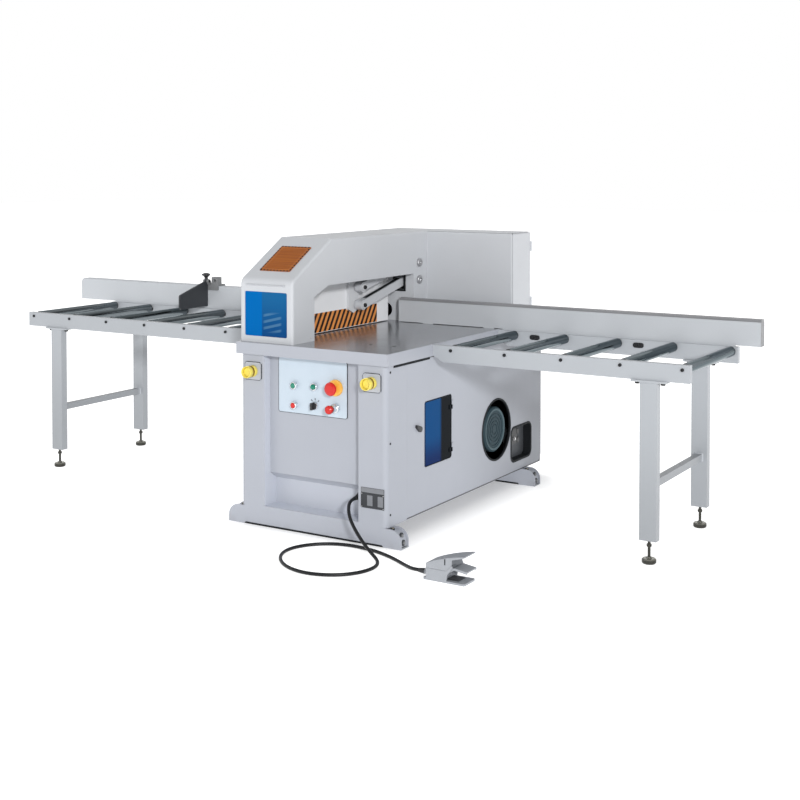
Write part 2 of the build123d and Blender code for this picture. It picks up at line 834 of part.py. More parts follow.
# Hood: bent sheet with a mouth through both sides, a rear column wall and the arm pivots
def hood_block(inset):
    slope_turn = atan2(hood_rise - hood_front_rise, hood_slope)
    shift = inset * tan((pi / 2 - slope_turn) / 2)
    rise = inset * tan(slope_turn / 2)
    low = table_height if inset == 0 else table_height - 10
    shape = outline([
        (hood_front_y + inset, low), (hood_front_y + inset, hood_front_top - shift),
        (hood_front_y + hood_slope + rise, hood_top - inset), (hood_rear - inset, hood_top - inset),
        (hood_rear - inset, low),
    ])
    fold = shape.vertices().filter_by(lambda v: v.X < hood_front_y + inset + 1 and v.Y > table_height + 1)
    shape = fillet(fold, hood_fold - inset)
    solid = slab_x(shape, hood_left + inset, hood_right - inset)
    edges = solid.faces().sort_by(Axis.X)[0].edges() + solid.faces().sort_by(Axis.X)[-1].edges()
    edges = edges.filter_by(lambda e: e.center().Z > table_height + 1)
    return fillet(edges, hood_round - inset)


hood = hood_block(0) - hood_block(hood_sheet)
mouth_front = hood_front_y + post_depth
mouth = outline([
    (mouth_front, table_height - 60), (mouth_front, table_height + mouth_low),
    (mouth_front + mouth_slant, table_height + mouth_high),
    (column_front, table_height + mouth_high), (column_front, table_height - 60),
])
mouth_cut = slab_x(mouth, hood_left - 5, hood_right + 5)
wall_left = hood_left + hood_sheet
wall_right = hood_right - hood_sheet
column_wall = block(wall_left, wall_right, column_front, column_front + hood_sheet,
                    table_height, hood_top - hood_sheet)
arm_slot_half = clamp_arm_width / 2 + 9
slot_low = clamp_rear_z - clamp_arm_height / 2 - 28
slot_high = clamp_rear_z + clamp_spacing + clamp_arm_height / 2 + 16
column_wall -= block(clamp_arm_x - arm_slot_half, clamp_arm_x + arm_slot_half, column_front,
                     column_front + hood_sheet, slot_low, slot_high)
column_wall -= disc_y(blade_x - 6, table_height + dust_rise, dust_hole,
                      column_front, column_front + hood_sheet)
pivot_plate_right = clamp_arm_x - arm_slot_half - 3
pivot_plate_left = pivot_plate_right - 6
column_wall += block(pivot_plate_left, pivot_plate_right, column_front, clamp_rear_y + 50,
                     slot_low, slot_high + 16)
hood = hood - mouth_cut + column_wall
skirt_low = table_height - hood_skirt
hood += block(hood_left, wall_left, hood_front_y, mouth_front, skirt_low, table_height + hood_sheet)
hood += block(hood_left, wall_left, column_front, hood_rear, skirt_low, table_height + hood_sheet)
window_low = table_height + front_window_rise
pane_middle = Pos(front_window_x, window_low + front_window_height / 2)
window_hole = pane_middle * RectangleRounded(front_window_width, front_window_height, 8)
hood -= slab_y(window_hole, hood_front_y, hood_front_y + hood_sheet)
lip_low = window_low + front_window_height + lip_gap
lip = outline([
    (hood_front_y + hood_sheet, lip_low), (hood_front_y, lip_low),
    (hood_front_y - lip_reach, lip_low + lip_height / 2),
    (hood_front_y, lip_low + lip_height), (hood_front_y + hood_sheet, lip_low + lip_height),
])
lip_half = front_window_width / 2 - lip_height
hood += slab_x(lip, front_window_x - lip_half, front_window_x + lip_half)
for z in (clamp_rear_z, clamp_rear_z + clamp_spacing):
    hood -= disc_x(clamp_rear_y, z, trunnion + running_fit, wall_right, hood_right)
    hood -= disc_x(clamp_rear_y, z, trunnion + running_fit, pivot_plate_left, pivot_plate_right)
hood_middle = (hood_left + hood_right) / 2
slope_angle = atan2(hood_rise - hood_front_rise, hood_slope)
slope_normal = (0, -sin(slope_angle), cos(slope_angle))
grille_y, grille_z = polar(hood_front_y, hood_front_top, grille_up, slope_angle)
slope_plane = Plane(origin=(hood_middle, grille_y, grille_z), x_dir=(1, 0, 0), z_dir=slope_normal)
hood -= slope_plane * Box(grille_width - 24, grille_length - 24, 12)
nodes["hood_shell"] = hood

pane_lap = 6
nodes["hood_window"] = slab_y(
    pane_middle * RectangleRounded(front_window_width + 2 * pane_lap,
                                   front_window_height + 2 * pane_lap, 8),
    hood_front_y + hood_sheet, hood_front_y + hood_sheet + 4)

grille_face = RectangleRounded(grille_width, grille_length, 6)
bar_pitch = (grille_length - 36) / grille_bars
for index in range(grille_bars):
    slot_y = (index - (grille_bars - 1) / 2) * bar_pitch
    grille_face -= Pos(0, slot_y) * Rectangle(grille_width - 36, bar_pitch * 0.3)
nodes["vent_grille"] = slope_plane * extrude(grille_face, grille_thickness)

# Rear box, open at the back, with the fixed halves of its hinges
box = block(hood_right, box_right, box_front, hood_rear, table_height, hood_top)
box_edges = box.edges().filter_by(lambda e: e.center().X > box_right - 1 and e.center().Y < box_front + 1)
top_edges = box.edges().filter_by(lambda e: e.center().Z > hood_top - 1 and e.center().X > hood_right + 1
                                  and e.center().Y < hood_rear - 1)
box = fillet(box_edges + top_edges, hood_round)
box -= block(hood_right + sheet, box_right - sheet, box_front + sheet, hood_rear + sheet,
             table_height + sheet, hood_top - sheet)
door_hinge_x = box_right + 1
door_hinge_y = hood_rear + door_hinge_radius
door_pin = 3.0
door_hinges = [table_height + hinge_low, table_height + hinge_high]
for z in door_hinges:
    knuckle = disc_z(door_hinge_x, door_hinge_y, door_hinge_radius, z - hinge_length / 2, z)
    knuckle += disc_z(door_hinge_x, door_hinge_y, door_pin, z, z + hinge_length / 2)
    knuckle += block(box_right - sheet, box_right, hood_rear - 4, door_hinge_y, z - hinge_length / 2, z)
    box += knuckle
nodes["rear_box"] = box

door_front = hood_rear + face_gap
door = block(hood_right + 2, box_right - 12, door_front, door_front + door_thickness,
             table_height + 2, hood_top - 2)
for z in door_hinges:
    leaf = block(box_right - 24, door_hinge_x, door_front, door_front + door_thickness,
                 z + face_gap, z + hinge_length / 2)
    leaf += disc_z(door_hinge_x, door_hinge_y, door_hinge_radius, z + face_gap, z + hinge_length / 2)
    leaf -= disc_z(door_hinge_x, door_hinge_y, door_pin + running_fit, z, z + hinge_length / 2)
    door += leaf
door += block(hood_right + 20, hood_right + 32, door_front + door_thickness, door_front + 24,
              table_height + hood_rise / 2 - 50, table_height + hood_rise / 2 + 50)
nodes["rear_box_door"] = door

# Hold-down guard: two plates over the blade, spacers, and a bracket with the two arm pins
guard_low = table_height + guard_lift
guard_side = outline([
    (guard_front, guard_low), (guard_rear, guard_low), (guard_rear, table_height + guard_rise),
    (guard_front + guard_chamfer, table_height + guard_rise),
    (guard_front, table_height + guard_front_rise),
])
guard_right = blade_x + guard_half_gap
guard_left = blade_x - guard_half_gap
guard_parts = [
    slab_x(guard_side, guard_right, guard_right + guard_plate),
    slab_x(guard_side, guard_left - guard_plate, guard_left),
]
spacer_z = table_height + guard_rise - 22
for y in (guard_front + guard_chamfer + 20, (guard_front + guard_rear) / 2, guard_rear - 40):
    guard_parts.append(disc_x(y, spacer_z, 10, guard_left, guard_right))
bracket_left = guard_right + guard_plate
bracket_right = bracket_left + guard_bracket
bracket_shape = outline([
    (bracket_front, table_height + bracket_low),
    ((bracket_front + bracket_rear) / 2, table_height + bracket_low - bracket_point),
    (bracket_rear, table_height + bracket_low),
    (bracket_rear, table_height + bracket_high), (bracket_front, table_height + bracket_high),
])
bracket_shape = fillet(bracket_shape.vertices(), 5)
bracket = slab_x(bracket_shape, bracket_left, bracket_right)
boss_left = clamp_arm_x - clamp_arm_width / 2 - 2
boss_right = clamp_arm_x + clamp_arm_width / 2 + 2
for z in (clamp_front_z, clamp_front_z + clamp_spacing):
    bracket += disc_x(clamp_front_y, z, clamp_pin + 5, bracket_right, boss_left - face_gap)
    bracket += disc_x(clamp_front_y, z, clamp_pin, boss_left - face_gap, boss_right + face_gap)
    bracket += disc_x(clamp_front_y, z, clamp_pin + 5, boss_right + face_gap, boss_right + face_gap + 6)
guard_parts.append(bracket)
nodes["hold_down_guard"] = group(guard_parts)


# Parallel arms of the hold-down: tube, front eye, rear boss and trunnion
def clamp_arm(z):
    arm_left_x = clamp_arm_x - clamp_arm_width / 2
    arm_right_x = clamp_arm_x + clamp_arm_width / 2
    middle = (clamp_rear_y - clamp_reach / 2, z - clamp_drop / 2)
    tube = Pos(*middle) * Rot(0, 0, degrees(clamp_angle)) * Rectangle(clamp_length, clamp_arm_height)
    solid = slab_x(tube, arm_left_x, arm_right_x)
    solid += disc_x(clamp_front_y, z - clamp_drop, clamp_boss, boss_left, boss_right)
    solid += disc_x(clamp_rear_y, z, clamp_boss + 2, boss_left, boss_right)
    solid -= disc_x(clamp_front_y, z - clamp_drop, clamp_pin + running_fit, boss_left, boss_right)
    solid += disc_x(clamp_rear_y, z, trunnion, pivot_plate_left, hood_right + 2)
    solid += disc_x(clamp_rear_y, z, trunnion + 6, hood_right + face_gap, hood_right + 8)
    return solid


nodes["clamp_upper_arm"] = clamp_arm(clamp_rear_z + clamp_spacing)
clamp_cylinder_y = clamp_rear_y + clamp_tail
tail_far = clamp_tail / cos(clamp_angle)
tail_slip = tail_far - clamp_tail
tail_y, tail_z = polar(clamp_rear_y, clamp_rear_z, (clamp_tail + tail_far) / 2, clamp_angle)
tail_pin_z = clamp_rear_z + clamp_tail * tan(clamp_angle)
clamp_stroke = tail_pin_z - clamp_rear_z - clamp_tail * tan(clamp_raised_angle)
tail_x0 = clamp_arm_x - tail_thickness / 2
tail_x1 = clamp_arm_x + tail_thickness / 2
lower = clamp_arm(clamp_rear_z)
lower += slab_x(wrap((clamp_rear_y, clamp_rear_z), clamp_boss, (tail_y, tail_z), 15), tail_x0, tail_x1)
tail_eye = Pos(tail_y, tail_z) * Rot(0, 0, degrees(clamp_angle)) * SlotCenterToCenter(
    tail_slip + 2 * lever_play, (tail_pin + lever_play) * 2)
nodes["clamp_lower_arm"] = lower - slab_x(tail_eye, tail_x0, tail_x1)

# Hold-down cylinder in the rear column and its rod
clamp_barrel_top = table_height + clamp_barrel
nodes["clamp_cylinder"] = turned_z([
    (0, table_height), (clamp_bore + lift_wall, table_height), (clamp_bore + lift_wall, clamp_barrel_top),
    (clamp_rod_radius + running_fit, clamp_barrel_top),
    (clamp_rod_radius + running_fit, clamp_barrel_top - 12), (clamp_bore, clamp_barrel_top - 12),
    (clamp_bore, table_height + 8), (0, table_height + 8),
], clamp_arm_x, clamp_cylinder_y)
clamp_piston = table_height + 14 + clamp_stroke
clamp_fork = tail_pin_z - 15 - tail_slip - 14
clamp_rod = turned_z([
    (0, clamp_piston), (clamp_bore - running_fit, clamp_piston),
    (clamp_bore - running_fit, clamp_piston + 14), (clamp_rod_radius, clamp_piston + 14),
    (clamp_rod_radius, clamp_fork), (0, clamp_fork),
], clamp_arm_x, clamp_cylinder_y)
clamp_fork_half = tail_thickness / 2 + face_gap
fork_face = wrap((clamp_cylinder_y, clamp_fork + 9), 11, (clamp_cylinder_y, tail_pin_z), 12)
clamp_rod += slab_x(fork_face, clamp_arm_x - clamp_fork_half - 7, clamp_arm_x + clamp_fork_half + 7)
clamp_rod -= block(clamp_arm_x - clamp_fork_half, clamp_arm_x + clamp_fork_half, clamp_cylinder_y - 30,
                   clamp_cylinder_y + 30, clamp_fork + 7, tail_pin_z + 30)
clamp_rod += disc_x(clamp_cylinder_y, tail_pin_z, tail_pin, clamp_arm_x - clamp_fork_half - 7,
                    clamp_arm_x + clamp_fork_half + 7)
nodes["clamp_rod"] = clamp_rod

# Roller tables: rails, fixed axles and free rollers
all_rollers = left_rollers + right_rollers


def rail(near, far, y0, stations):
    # The lower corner next to the table is cut off.
    way = 1 if far > near else -1
    corners = [
        (near + way * rail_cut_length, rail_bottom), (far, rail_bottom), (far, rail_top),
        (near, rail_top), (near, rail_bottom + rail_cut_height),
    ]
    shape = outline(corners[::way])
    solid = slab_y(shape, y0, y0 + rail_thickness)
    solid -= slab_y(offset(shape, -rail_wall), y0 + rail_wall, y0 + rail_thickness - rail_wall)
    for x in stations:
        solid -= disc_y(x, roller_axis, axle_radius + running_fit, y0, y0 + rail_thickness)
    return solid


rails = []
for y0 in (rail_front, rail_rear):
    rails.append(rail(-table_half, left_table_end, y0, left_rollers))
    rails.append(rail(table_half, right_table_end, y0, right_rollers))
nodes["table_rails"] = group(rails)

rail_back = rail_rear + rail_thickness
axles = []
for x in all_rollers:
    axle = disc_y(x, roller_axis, axle_radius, rail_front, rail_back)
    axle += disc_y(x, roller_axis, axle_head, rail_front - axle_head_height, rail_front)
    axle += disc_y(x, roller_axis, axle_head, rail_back, rail_back + axle_head_height)
    axles.append(axle)
nodes["roller_axles"] = group(axles)

roller_start = rail_front + rail_thickness + roller_end_gap
roller_end = rail_rear - roller_end_gap
bore = axle_radius + running_fit
tube_inner = roller_radius - roller_wall
roller_points = [
    (bore, roller_start), (roller_radius - 2, roller_start), (roller_radius, roller_start + 2),
    (roller_radius, roller_end - 2), (roller_radius - 2, roller_end), (bore, roller_end),
    (bore, roller_end - roller_plug), (tube_inner, roller_end - roller_plug),
    (tube_inner, roller_start + roller_plug), (bore, roller_start + roller_plug),
]
for number, x in enumerate(left_rollers, 1):
    nodes[f"left_roller_{number}"] = turned_y(roller_points, x, roller_axis)
for number, x in enumerate(right_rollers, 1):
    nodes[f"right_roller_{number}"] = turned_y(roller_points, x, roller_axis)

# Leg frames and levelling feet
leg_top = rail_bottom - leg_flange_thickness
leg_rows = (rail_front - leg_inset, rail_back + leg_inset - leg_depth)
nut_low = leg_bottom - 26
leg_parts, feet = [], []
for x in (left_leg_x, right_leg_x):
    half = leg_width / 2
    for y0 in leg_rows:
        leg = block(x - half, x + half, y0, y0 + leg_depth, leg_bottom, leg_top)
        leg -= block(x - half + leg_wall, x + half - leg_wall, y0 + leg_wall, y0 + leg_depth - leg_wall,
                     leg_bottom + 8, leg_top)
        middle_y = y0 + leg_depth / 2
        leg -= disc_z(x, middle_y, stem_radius + running_fit, leg_bottom, leg_bottom + 8)
        leg_parts.append(leg)
        leg_parts.append(block(x - leg_flange / 2, x + leg_flange / 2, y0 - 4, y0 + leg_depth + 4,
                               leg_top, rail_bottom))
        feet.append(turned_z([
            (0, 0), (foot_disc - 4, 0), (foot_disc, 5), (foot_disc, foot_thickness - 5),
            (foot_disc - 5, foot_thickness), (stem_radius * 2, foot_thickness),
            (stem_radius * 1.5, foot_thickness + 6), (stem_radius, foot_thickness + 6),
            (stem_radius, nut_low), (stem_radius * 1.7, nut_low), (stem_radius * 1.7, nut_low + 11),
            (stem_radius, nut_low + 11), (stem_radius, leg_bottom + 40), (0, leg_bottom + 40),
        ], x, middle_y))
    leg_parts.append(block(x - brace_size / 2, x + brace_size / 2, leg_rows[0] + leg_depth, leg_rows[1],
                           brace_height, brace_height + brace_size))
nodes["leg_frames"] = group(leg_parts)
nodes["levelling_feet"] = group(feet)


# Fences stand on a packing strip along the rear rails and on pads over the table
def fence(x0, x1, height, round_left):
    top = fence_bottom + height
    shape = outline([(x0, fence_bottom), (x1, fence_bottom), (x1, top), (x0, top)])
    if round_left:
        shape = fillet(shape.vertices().filter_by(lambda v: v.X < x0 + 1 and v.Y > top - 1), fence_round)
    solid = slab_y(shape, fence_front, fence_front + fence_thickness)
    if round_left:
        rolled = solid.edges().filter_by(Axis.X).filter_by(
            lambda e: e.center().Z > top - 1 and e.center().Y < fence_front + 1)
        solid = fillet(rolled, fence_edge)
    solid -= block(x0 + fence_round + fence_wall, x1 - fence_wall, fence_front + fence_wall,
                   fence_front + fence_thickness - fence_wall, fence_bottom + fence_wall, top - fence_wall)
    return solid


def packing(x0, x1, seat):
    return block(x0, x1, fence_front, rail_back, seat, fence_bottom)


left_fence = fence(left_fence_end, left_fence_stop, left_fence_height, True)
left_fence += packing(left_table_end + fence_pad_inset, -table_half - fence_pad_inset, rail_top)
right_fence = fence(right_fence_start, right_fence_end, right_fence_height, False)
right_top = fence_bottom + right_fence_height
right_fence += block(right_fence_start, right_fence_end, fence_front + 5, fence_front + fence_thickness - 5,
                     right_top, right_top + fence_strip)
right_fence += packing(table_half + fence_pad_inset, right_table_end - fence_pad_inset, rail_top)
for x in (0, table_half - fence_pad):
    right_fence += packing(x - fence_pad / 2, x + fence_pad / 2, table_height)
nodes["fences"] = group([left_fence, right_fence])

# Length stop: carriage over the fence, swing-up plate between two lugs, and locking knob
left_top = fence_bottom + left_fence_height
carriage_left = stop_x - carriage_left_reach
carriage_right = stop_x + carriage_right_reach
carriage_top = left_top + face_gap + carriage_wall
cheek_front = fence_front - face_gap - carriage_wall
fence_back = fence_front + fence_thickness
carriage = block(carriage_left, carriage_right, cheek_front, fence_back + face_gap + carriage_wall,
                 left_top - carriage_grip, carriage_top)
carriage -= block(carriage_left, carriage_right, fence_front - face_gap, fence_back + face_gap,
                  left_top - carriage_grip, left_top + face_gap)
stop_left = stop_x - stop_thickness / 2
stop_right = stop_x + stop_thickness / 2
stop_hinge_y = cheek_front - stop_pin
stop_hinge_z = carriage_top + stop_hub + 3
lug_face = wrap((stop_hinge_y, stop_hinge_z), stop_hub - 4,
                (cheek_front + carriage_wall, carriage_top - 3), 10)
lug_spans = [
    (stop_left - face_gap - stop_lug, stop_left - face_gap),
    (stop_right + face_gap, stop_right + face_gap + stop_lug),
]
for x0, x1 in lug_spans:
    lug = slab_x(lug_face, x0, x1)
    lug -= block(x0, x1, fence_front - face_gap, fence_back, left_top - carriage_grip, left_top + face_gap)
    carriage += lug
carriage += disc_x(stop_hinge_y, stop_hinge_z, stop_pin, lug_spans[0][0], lug_spans[1][1])
anvil_x = carriage_right - anvil_length / 2
anvil_top = carriage_top + anvil_height
anvil_rear = cheek_front + anvil_depth
anvil = block(carriage_right - anvil_length, carriage_right, cheek_front, anvil_rear,
              carriage_top, anvil_top)
anvil -= disc_y(anvil_x, anvil_top - anvil_height / 2, anvil_hole, cheek_front, anvil_rear)
carriage += anvil
knob_x = stop_x - knob_offset
knob_y = (fence_front + fence_back) / 2
boss_top = carriage_top + knob_boss
carriage += disc_z(knob_x, knob_y, 13, carriage_top, boss_top)
carriage -= disc_z(knob_x, knob_y, 6 + running_fit, left_top + face_gap, boss_top)
nodes["stop_carriage"] = carriage

stop_low = table_height + stop_lift
plate_rear = cheek_front - face_gap
plate_shape = outline([
    (plate_rear, stop_low), (plate_rear, stop_low + stop_rear_height),
    (plate_rear - stop_length, stop_low + stop_front_height), (plate_rear - stop_length, stop_low),
])
plate_shape = fillet(plate_shape.vertices().filter_by(lambda v: v.X < plate_rear - 1), stop_corner)
plate_shape += Pos(stop_hinge_y, stop_hinge_z) * Circle(stop_hub)
plate_shape -= Pos(stop_hinge_y, stop_hinge_z) * Circle(stop_pin + running_fit)
nodes["stop_plate"] = slab_x(plate_shape, stop_left, stop_right)

knob_low = boss_top + knob_stem
lobes = Circle(knob_radius * 0.8)
for index in range(5):
    turn = 2 * pi * index / 5
    lobe_place = Pos(knob_radius * 0.72 * cos(turn), knob_radius * 0.72 * sin(turn))
    lobes += lobe_place * Circle(knob_radius * 0.28)
knob_top = knob_low + knob_height
knob = Pos(knob_x, knob_y, 0) * slab_z(lobes, knob_low, knob_top - 5)
knob += turned_z([
    (0, knob_low - 11), (10, knob_low - 11), (knob_radius * 0.8, knob_low), (knob_radius * 0.8, knob_top - 5),
    (knob_radius * 0.5, knob_top), (0, knob_top),
], knob_x, knob_y)
knob += disc_z(knob_x, knob_y, 6, left_top + face_gap, knob_low)
knob += disc_z(knob_x, knob_y, 10, boss_top + face_gap, knob_low)
nodes["stop_knob"] = knob

# Control panel with the collars of its buttons
plate_front = recess_depth - panel_plate
collar_front = plate_front - collar_depth
panel_middle = Pos((panel_left + panel_right) / 2, (panel_low + panel_high) / 2)
panel_face = panel_middle * RectangleRounded(panel_right - panel_left, panel_height, 10)
panel = slab_y(panel_face, plate_front, recess_depth)
bore_end = recess_depth - 1
collar = button_radius + collar_wall
stations = [
    (column_left_x, row_high, collar), (column_mid_x, lamp_z, collar),
    (column_right_x, emergency_z, emergency_base), (column_left_x, row_low, collar),
    (column_mid_x, selector_z, collar), (column_right_x, mushroom_z, mushroom_radius),
]
for x, z, radius in stations:
    panel += disc_y(x, z, radius, collar_front, plate_front)
for x, z, radius in stations:
    panel -= disc_y(x, z, button_radius + running_fit, collar_front, bore_end)
nodes["control_panel"] = panel

cap_front = collar_front - button_travel - 2
cap_back = bore_end - button_travel - 1


def flush_button(x, z):
    return turned_y([
        (0, cap_front), (button_radius - 2, cap_front), (button_radius, cap_front + 2),
        (button_radius, cap_back), (0, cap_back),
    ], x, z)


def mushroom(x, z, radius, reach):
    tip = collar_front - reach
    return turned_y([
        (0, tip), (radius * 0.6, tip + 1), (radius * 0.92, tip + 6), (radius, tip + 12),
        (radius * 0.95, tip + 16), (button_radius, tip + 20), (button_radius, cap_back), (0, cap_back),
    ], x, z)


nodes["start_button"] = flush_button(column_left_x, row_high)
nodes["stop_button"] = flush_button(column_left_x, row_low)
lamp_tip = collar_front - 18
nodes["panel_lamp"] = turned_y([
    (0, lamp_tip), (button_radius * 0.6, lamp_tip + 2), (button_radius * 0.95, lamp_tip + 8),
    (button_radius, lamp_tip + 14), (button_radius, bore_end), (0, bore_end),
], column_mid_x, lamp_z)
grip_front = collar_front - 22
selector = turned_y([
    (0, collar_front - 8), (button_radius + 4, collar_front - 8),
    (button_radius + 4, collar_front - face_gap), (button_radius, collar_front - face_gap),
    (button_radius, bore_end - 1), (0, bore_end - 1),
], column_mid_x, selector_z)
selector += block(column_mid_x - 5, column_mid_x + 5, grip_front, collar_front - 8,
                  selector_z - button_radius - 4, selector_z + button_radius + 4)
nodes["selector_knob"] = selector
nodes["emergency_stop"] = mushroom(column_right_x, emergency_z, emergency_radius, emergency_reach)
nodes["stop_mushroom"] = mushroom(column_right_x, mushroom_z, mushroom_radius, mushroom_reach)

# Two-hand buttons in round, notched shrouds on square plates
shrouds = []
palm_front = -panel_plate - palm_tube_depth
palm_inner = palm_tube - palm_tube_wall
for side, name in ((-1, "left_palm_button"), (1, "right_palm_button")):
    x = side * palm_x
    plate_face = Pos(x, palm_z) * RectangleRounded(palm_plate_width, palm_plate_height, 6)
    shroud = slab_y(plate_face, -panel_plate, 0)
    shroud += disc_y(x, palm_z, palm_tube, palm_front, -panel_plate)
    shroud += disc_y(x, palm_z, palm_flange, -panel_plate - palm_flange_depth, -panel_plate)
    shroud -= disc_y(x, palm_z, palm_inner + running_fit, palm_front, -panel_plate - 2)
    shroud -= block(x - palm_notch / 2, x + palm_notch / 2, palm_front, palm_front + palm_notch,
                    palm_z, palm_z + palm_tube)
    shrouds.append(shroud)
    tip = palm_front + palm_recess
    back = -panel_plate - 2 - palm_travel - 2
    nodes[name] = turned_y([
        (0, tip), (palm_inner - 5, tip), (palm_inner - 1, tip + 2), (palm_inner, tip + 6),
        (palm_inner, back), (0, back),
    ], x, palm_z)
nodes["palm_shrouds"] = group(shrouds)

# Air filter and regulator on a plate behind the side window
air_x = cabinet_half - air_inset
air_right = air_x + air_body_depth / 2
air_left = air_right - air_body_depth
air_top = window_z + air_body_height
air_half = air_body_width / 2
air = block(air_left - air_plate, air_left, window_y - air_half, window_y + air_half,
            floor_plate_top, air_top)
air += block(air_left, air_right, window_y - air_half, window_y + air_half, window_z, air_top)
for side in (-1, 1):
    y = window_y + side * air_spacing / 2
    air += disc_z(air_x, y, air_bowl, window_z - air_bowl_length, window_z)
    air += disc_z(air_x, y, air_knob, air_top, air_top + air_knob_length)
air += disc_x(window_y + air_spacing / 2, window_z + air_body_height / 2, gauge_radius,
              air_right, air_right + gauge_depth)
nodes["air_regulator"] = air

# Cord gland with its nut, in the back wall of the recess
gland_front = recess_low_depth - gland_length
gland = disc_y(gland_x, gland_z, gland_radius, gland_front, recess_low_depth)
nut = Pos(gland_x, gland_z) * RegularPolygon(gland_nut, 6)
nodes["cord_gland"] = gland + slab_y(nut, recess_low_depth - gland_nut_depth, recess_low_depth)

# Foot pedal: base plate, switch box, rising cheeks and a crowned canopy over the treadle
pedal_right = pedal_left + pedal_length
pedal_rear = pedal_front + pedal_width
pedal_mid = (pedal_front + pedal_rear) / 2
body_left = pedal_left + pedal_inset
box_end = pedal_left + pedal_box
cheek_end = pedal_left + cheek_length
cheek_foot = (box_end + cheek_end) / 2
treadle_x = pedal_left + treadle_back
treadle_z = pedal_base + treadle_pivot
back = (body_left, pedal_back_height)
tip = (pedal_right, pedal_tip_height)
crown = ((back[0] + tip[0]) / 2, (back[1] + tip[1]) / 2 + pedal_crown)


def canopy_face(low):
    # Side view between the crowned top line and a level or sloping lower line.
    top = ThreePointArc(back, crown, tip)
    return make_face(top + Polyline(tip, *low, back))


def canopy_under(x):
    share = (x - body_left) / (pedal_right - body_left)
    return pedal_back_height + share * (pedal_tip_height - pedal_back_height) - pedal_wall


base_face = RectangleRounded(pedal_length, pedal_width, pedal_corner)
pedal = slab_z(Pos((pedal_left + pedal_right) / 2, pedal_mid) * base_face, 0, pedal_base)
canopy = canopy_face([(pedal_right, canopy_under(pedal_right)), (body_left, canopy_under(body_left))])
pedal += slab_y(canopy, pedal_front, pedal_rear)
pedal += block(body_left, box_end, pedal_front, pedal_rear, pedal_base, canopy_under(body_left))
pedal += slab_y(outline([
    (body_left, canopy_under(body_left)), (box_end, canopy_under(body_left)),
    (box_end, canopy_under(box_end)),
]), pedal_front, pedal_rear)
split_high = pedal_split + cheek_rise
split_line = [(body_left, pedal_split), (cheek_foot, pedal_split), (cheek_end, split_high)]
cheek_shape = outline([
    (box_end, pedal_base), (cheek_foot, pedal_base), (treadle_x + pedal_wall, treadle_z - treadle_pin * 2),
    (cheek_end + treadle_pin, split_high - treadle_pin * 2), (cheek_end, split_high),
    (cheek_end, canopy_under(cheek_end)), (box_end, canopy_under(box_end)),
])
groove = outline(split_line + [(x, z + split_groove) for x, z in reversed(split_line)])
for y0, y1, cut in (
    (pedal_front, pedal_front + pedal_wall, pedal_front),
    (pedal_rear - pedal_wall, pedal_rear, pedal_rear - split_groove),
):
    pedal += slab_y(cheek_shape, y0, y1)
    pedal -= slab_y(groove, cut, cut + split_groove)
pedal -= disc_y(treadle_x, treadle_z, treadle_pin + running_fit, pedal_front, pedal_rear)
pedal += disc_x(plug_y, plug_z, plug_radius, pedal_left - plug_length, body_left)
nodes["pedal_housing"] = pedal

# Treadle: a ridged plate with down-turned sides on a pin through the cheeks
tread_end = pedal_right + treadle_over
tread_high = treadle_z + treadle_rise
tread_line = [
    (treadle_x, treadle_z + treadle_pin), (cheek_end + treadle_skirt, tread_high),
    (tread_end, tread_high - treadle_droop),
]
tread = outline(tread_line + [(x, z - treadle_thickness) for x, z in reversed(tread_line)])
tread += Pos(treadle_x, treadle_z) * Circle(treadle_pin + treadle_thickness)
skirt = outline(tread_line + [(x, z - treadle_skirt) for x, z in reversed(tread_line)])
tread_front = pedal_front + pedal_wall + face_gap
tread_rear = pedal_rear - pedal_wall - face_gap
treadle = slab_y(tread, tread_front, tread_rear)
treadle += slab_y(skirt, tread_front, tread_front + treadle_thickness)
treadle += slab_y(skirt, tread_rear - treadle_thickness, tread_rear)
treadle += disc_y(treadle_x, treadle_z, treadle_pin, pedal_front, pedal_rear)
nodes["pedal_treadle"] = treadle

# Cord from the gland to the pedal: out over the foot bar, down to the floor and once round
lie = cord_radius + 0.5
cord_route = [
    (gland_x, gland_front, gland_z), (gland_x, 22, gland_z), (222, -28, 178), (250, -74, 161),
    (279, -107, 140), (313, -132, 115), (352, -153, 87), (394, -169, 57), (438, -182, 29), (483, -204, 12),
    (512, -250, lie), (519, -312, lie), (500, -380, lie), (455, -438, lie), (390, -477, lie),
    (310, -493, lie), (228, -476, lie), (156, -434, lie), (98, -372, lie), (63, -300, lie), (62, -222, lie),
    (102, -146, lie), (172, -90, lie), (255, -68, lie), (342, -74, lie), (430, -96, lie), (520, -136, lie),
    (606, -188, lie), (664, -232, 15), (702, plug_y, plug_z), (pedal_left - plug_length, plug_y, plug_z),
]
bends = []
for before, here, after in zip(cord_route, cord_route[1:], cord_route[2:]):
    run_in = Vector(*here) - Vector(*before)
    run_out = Vector(*after) - Vector(*here)
    half_turn = radians(run_in.get_angle(run_out)) / 2
    bends.append(0.45 * min(run_in.length, run_out.length) / tan(half_turn))
cord_path = FilletPolyline(*cord_route, radius=bends)
cord_start = Plane(cord_path @ 0, z_dir=cord_path % 0)
cord = sweep(cord_start * Circle(cord_radius), path=cord_path)
cord_length = cord_path.length

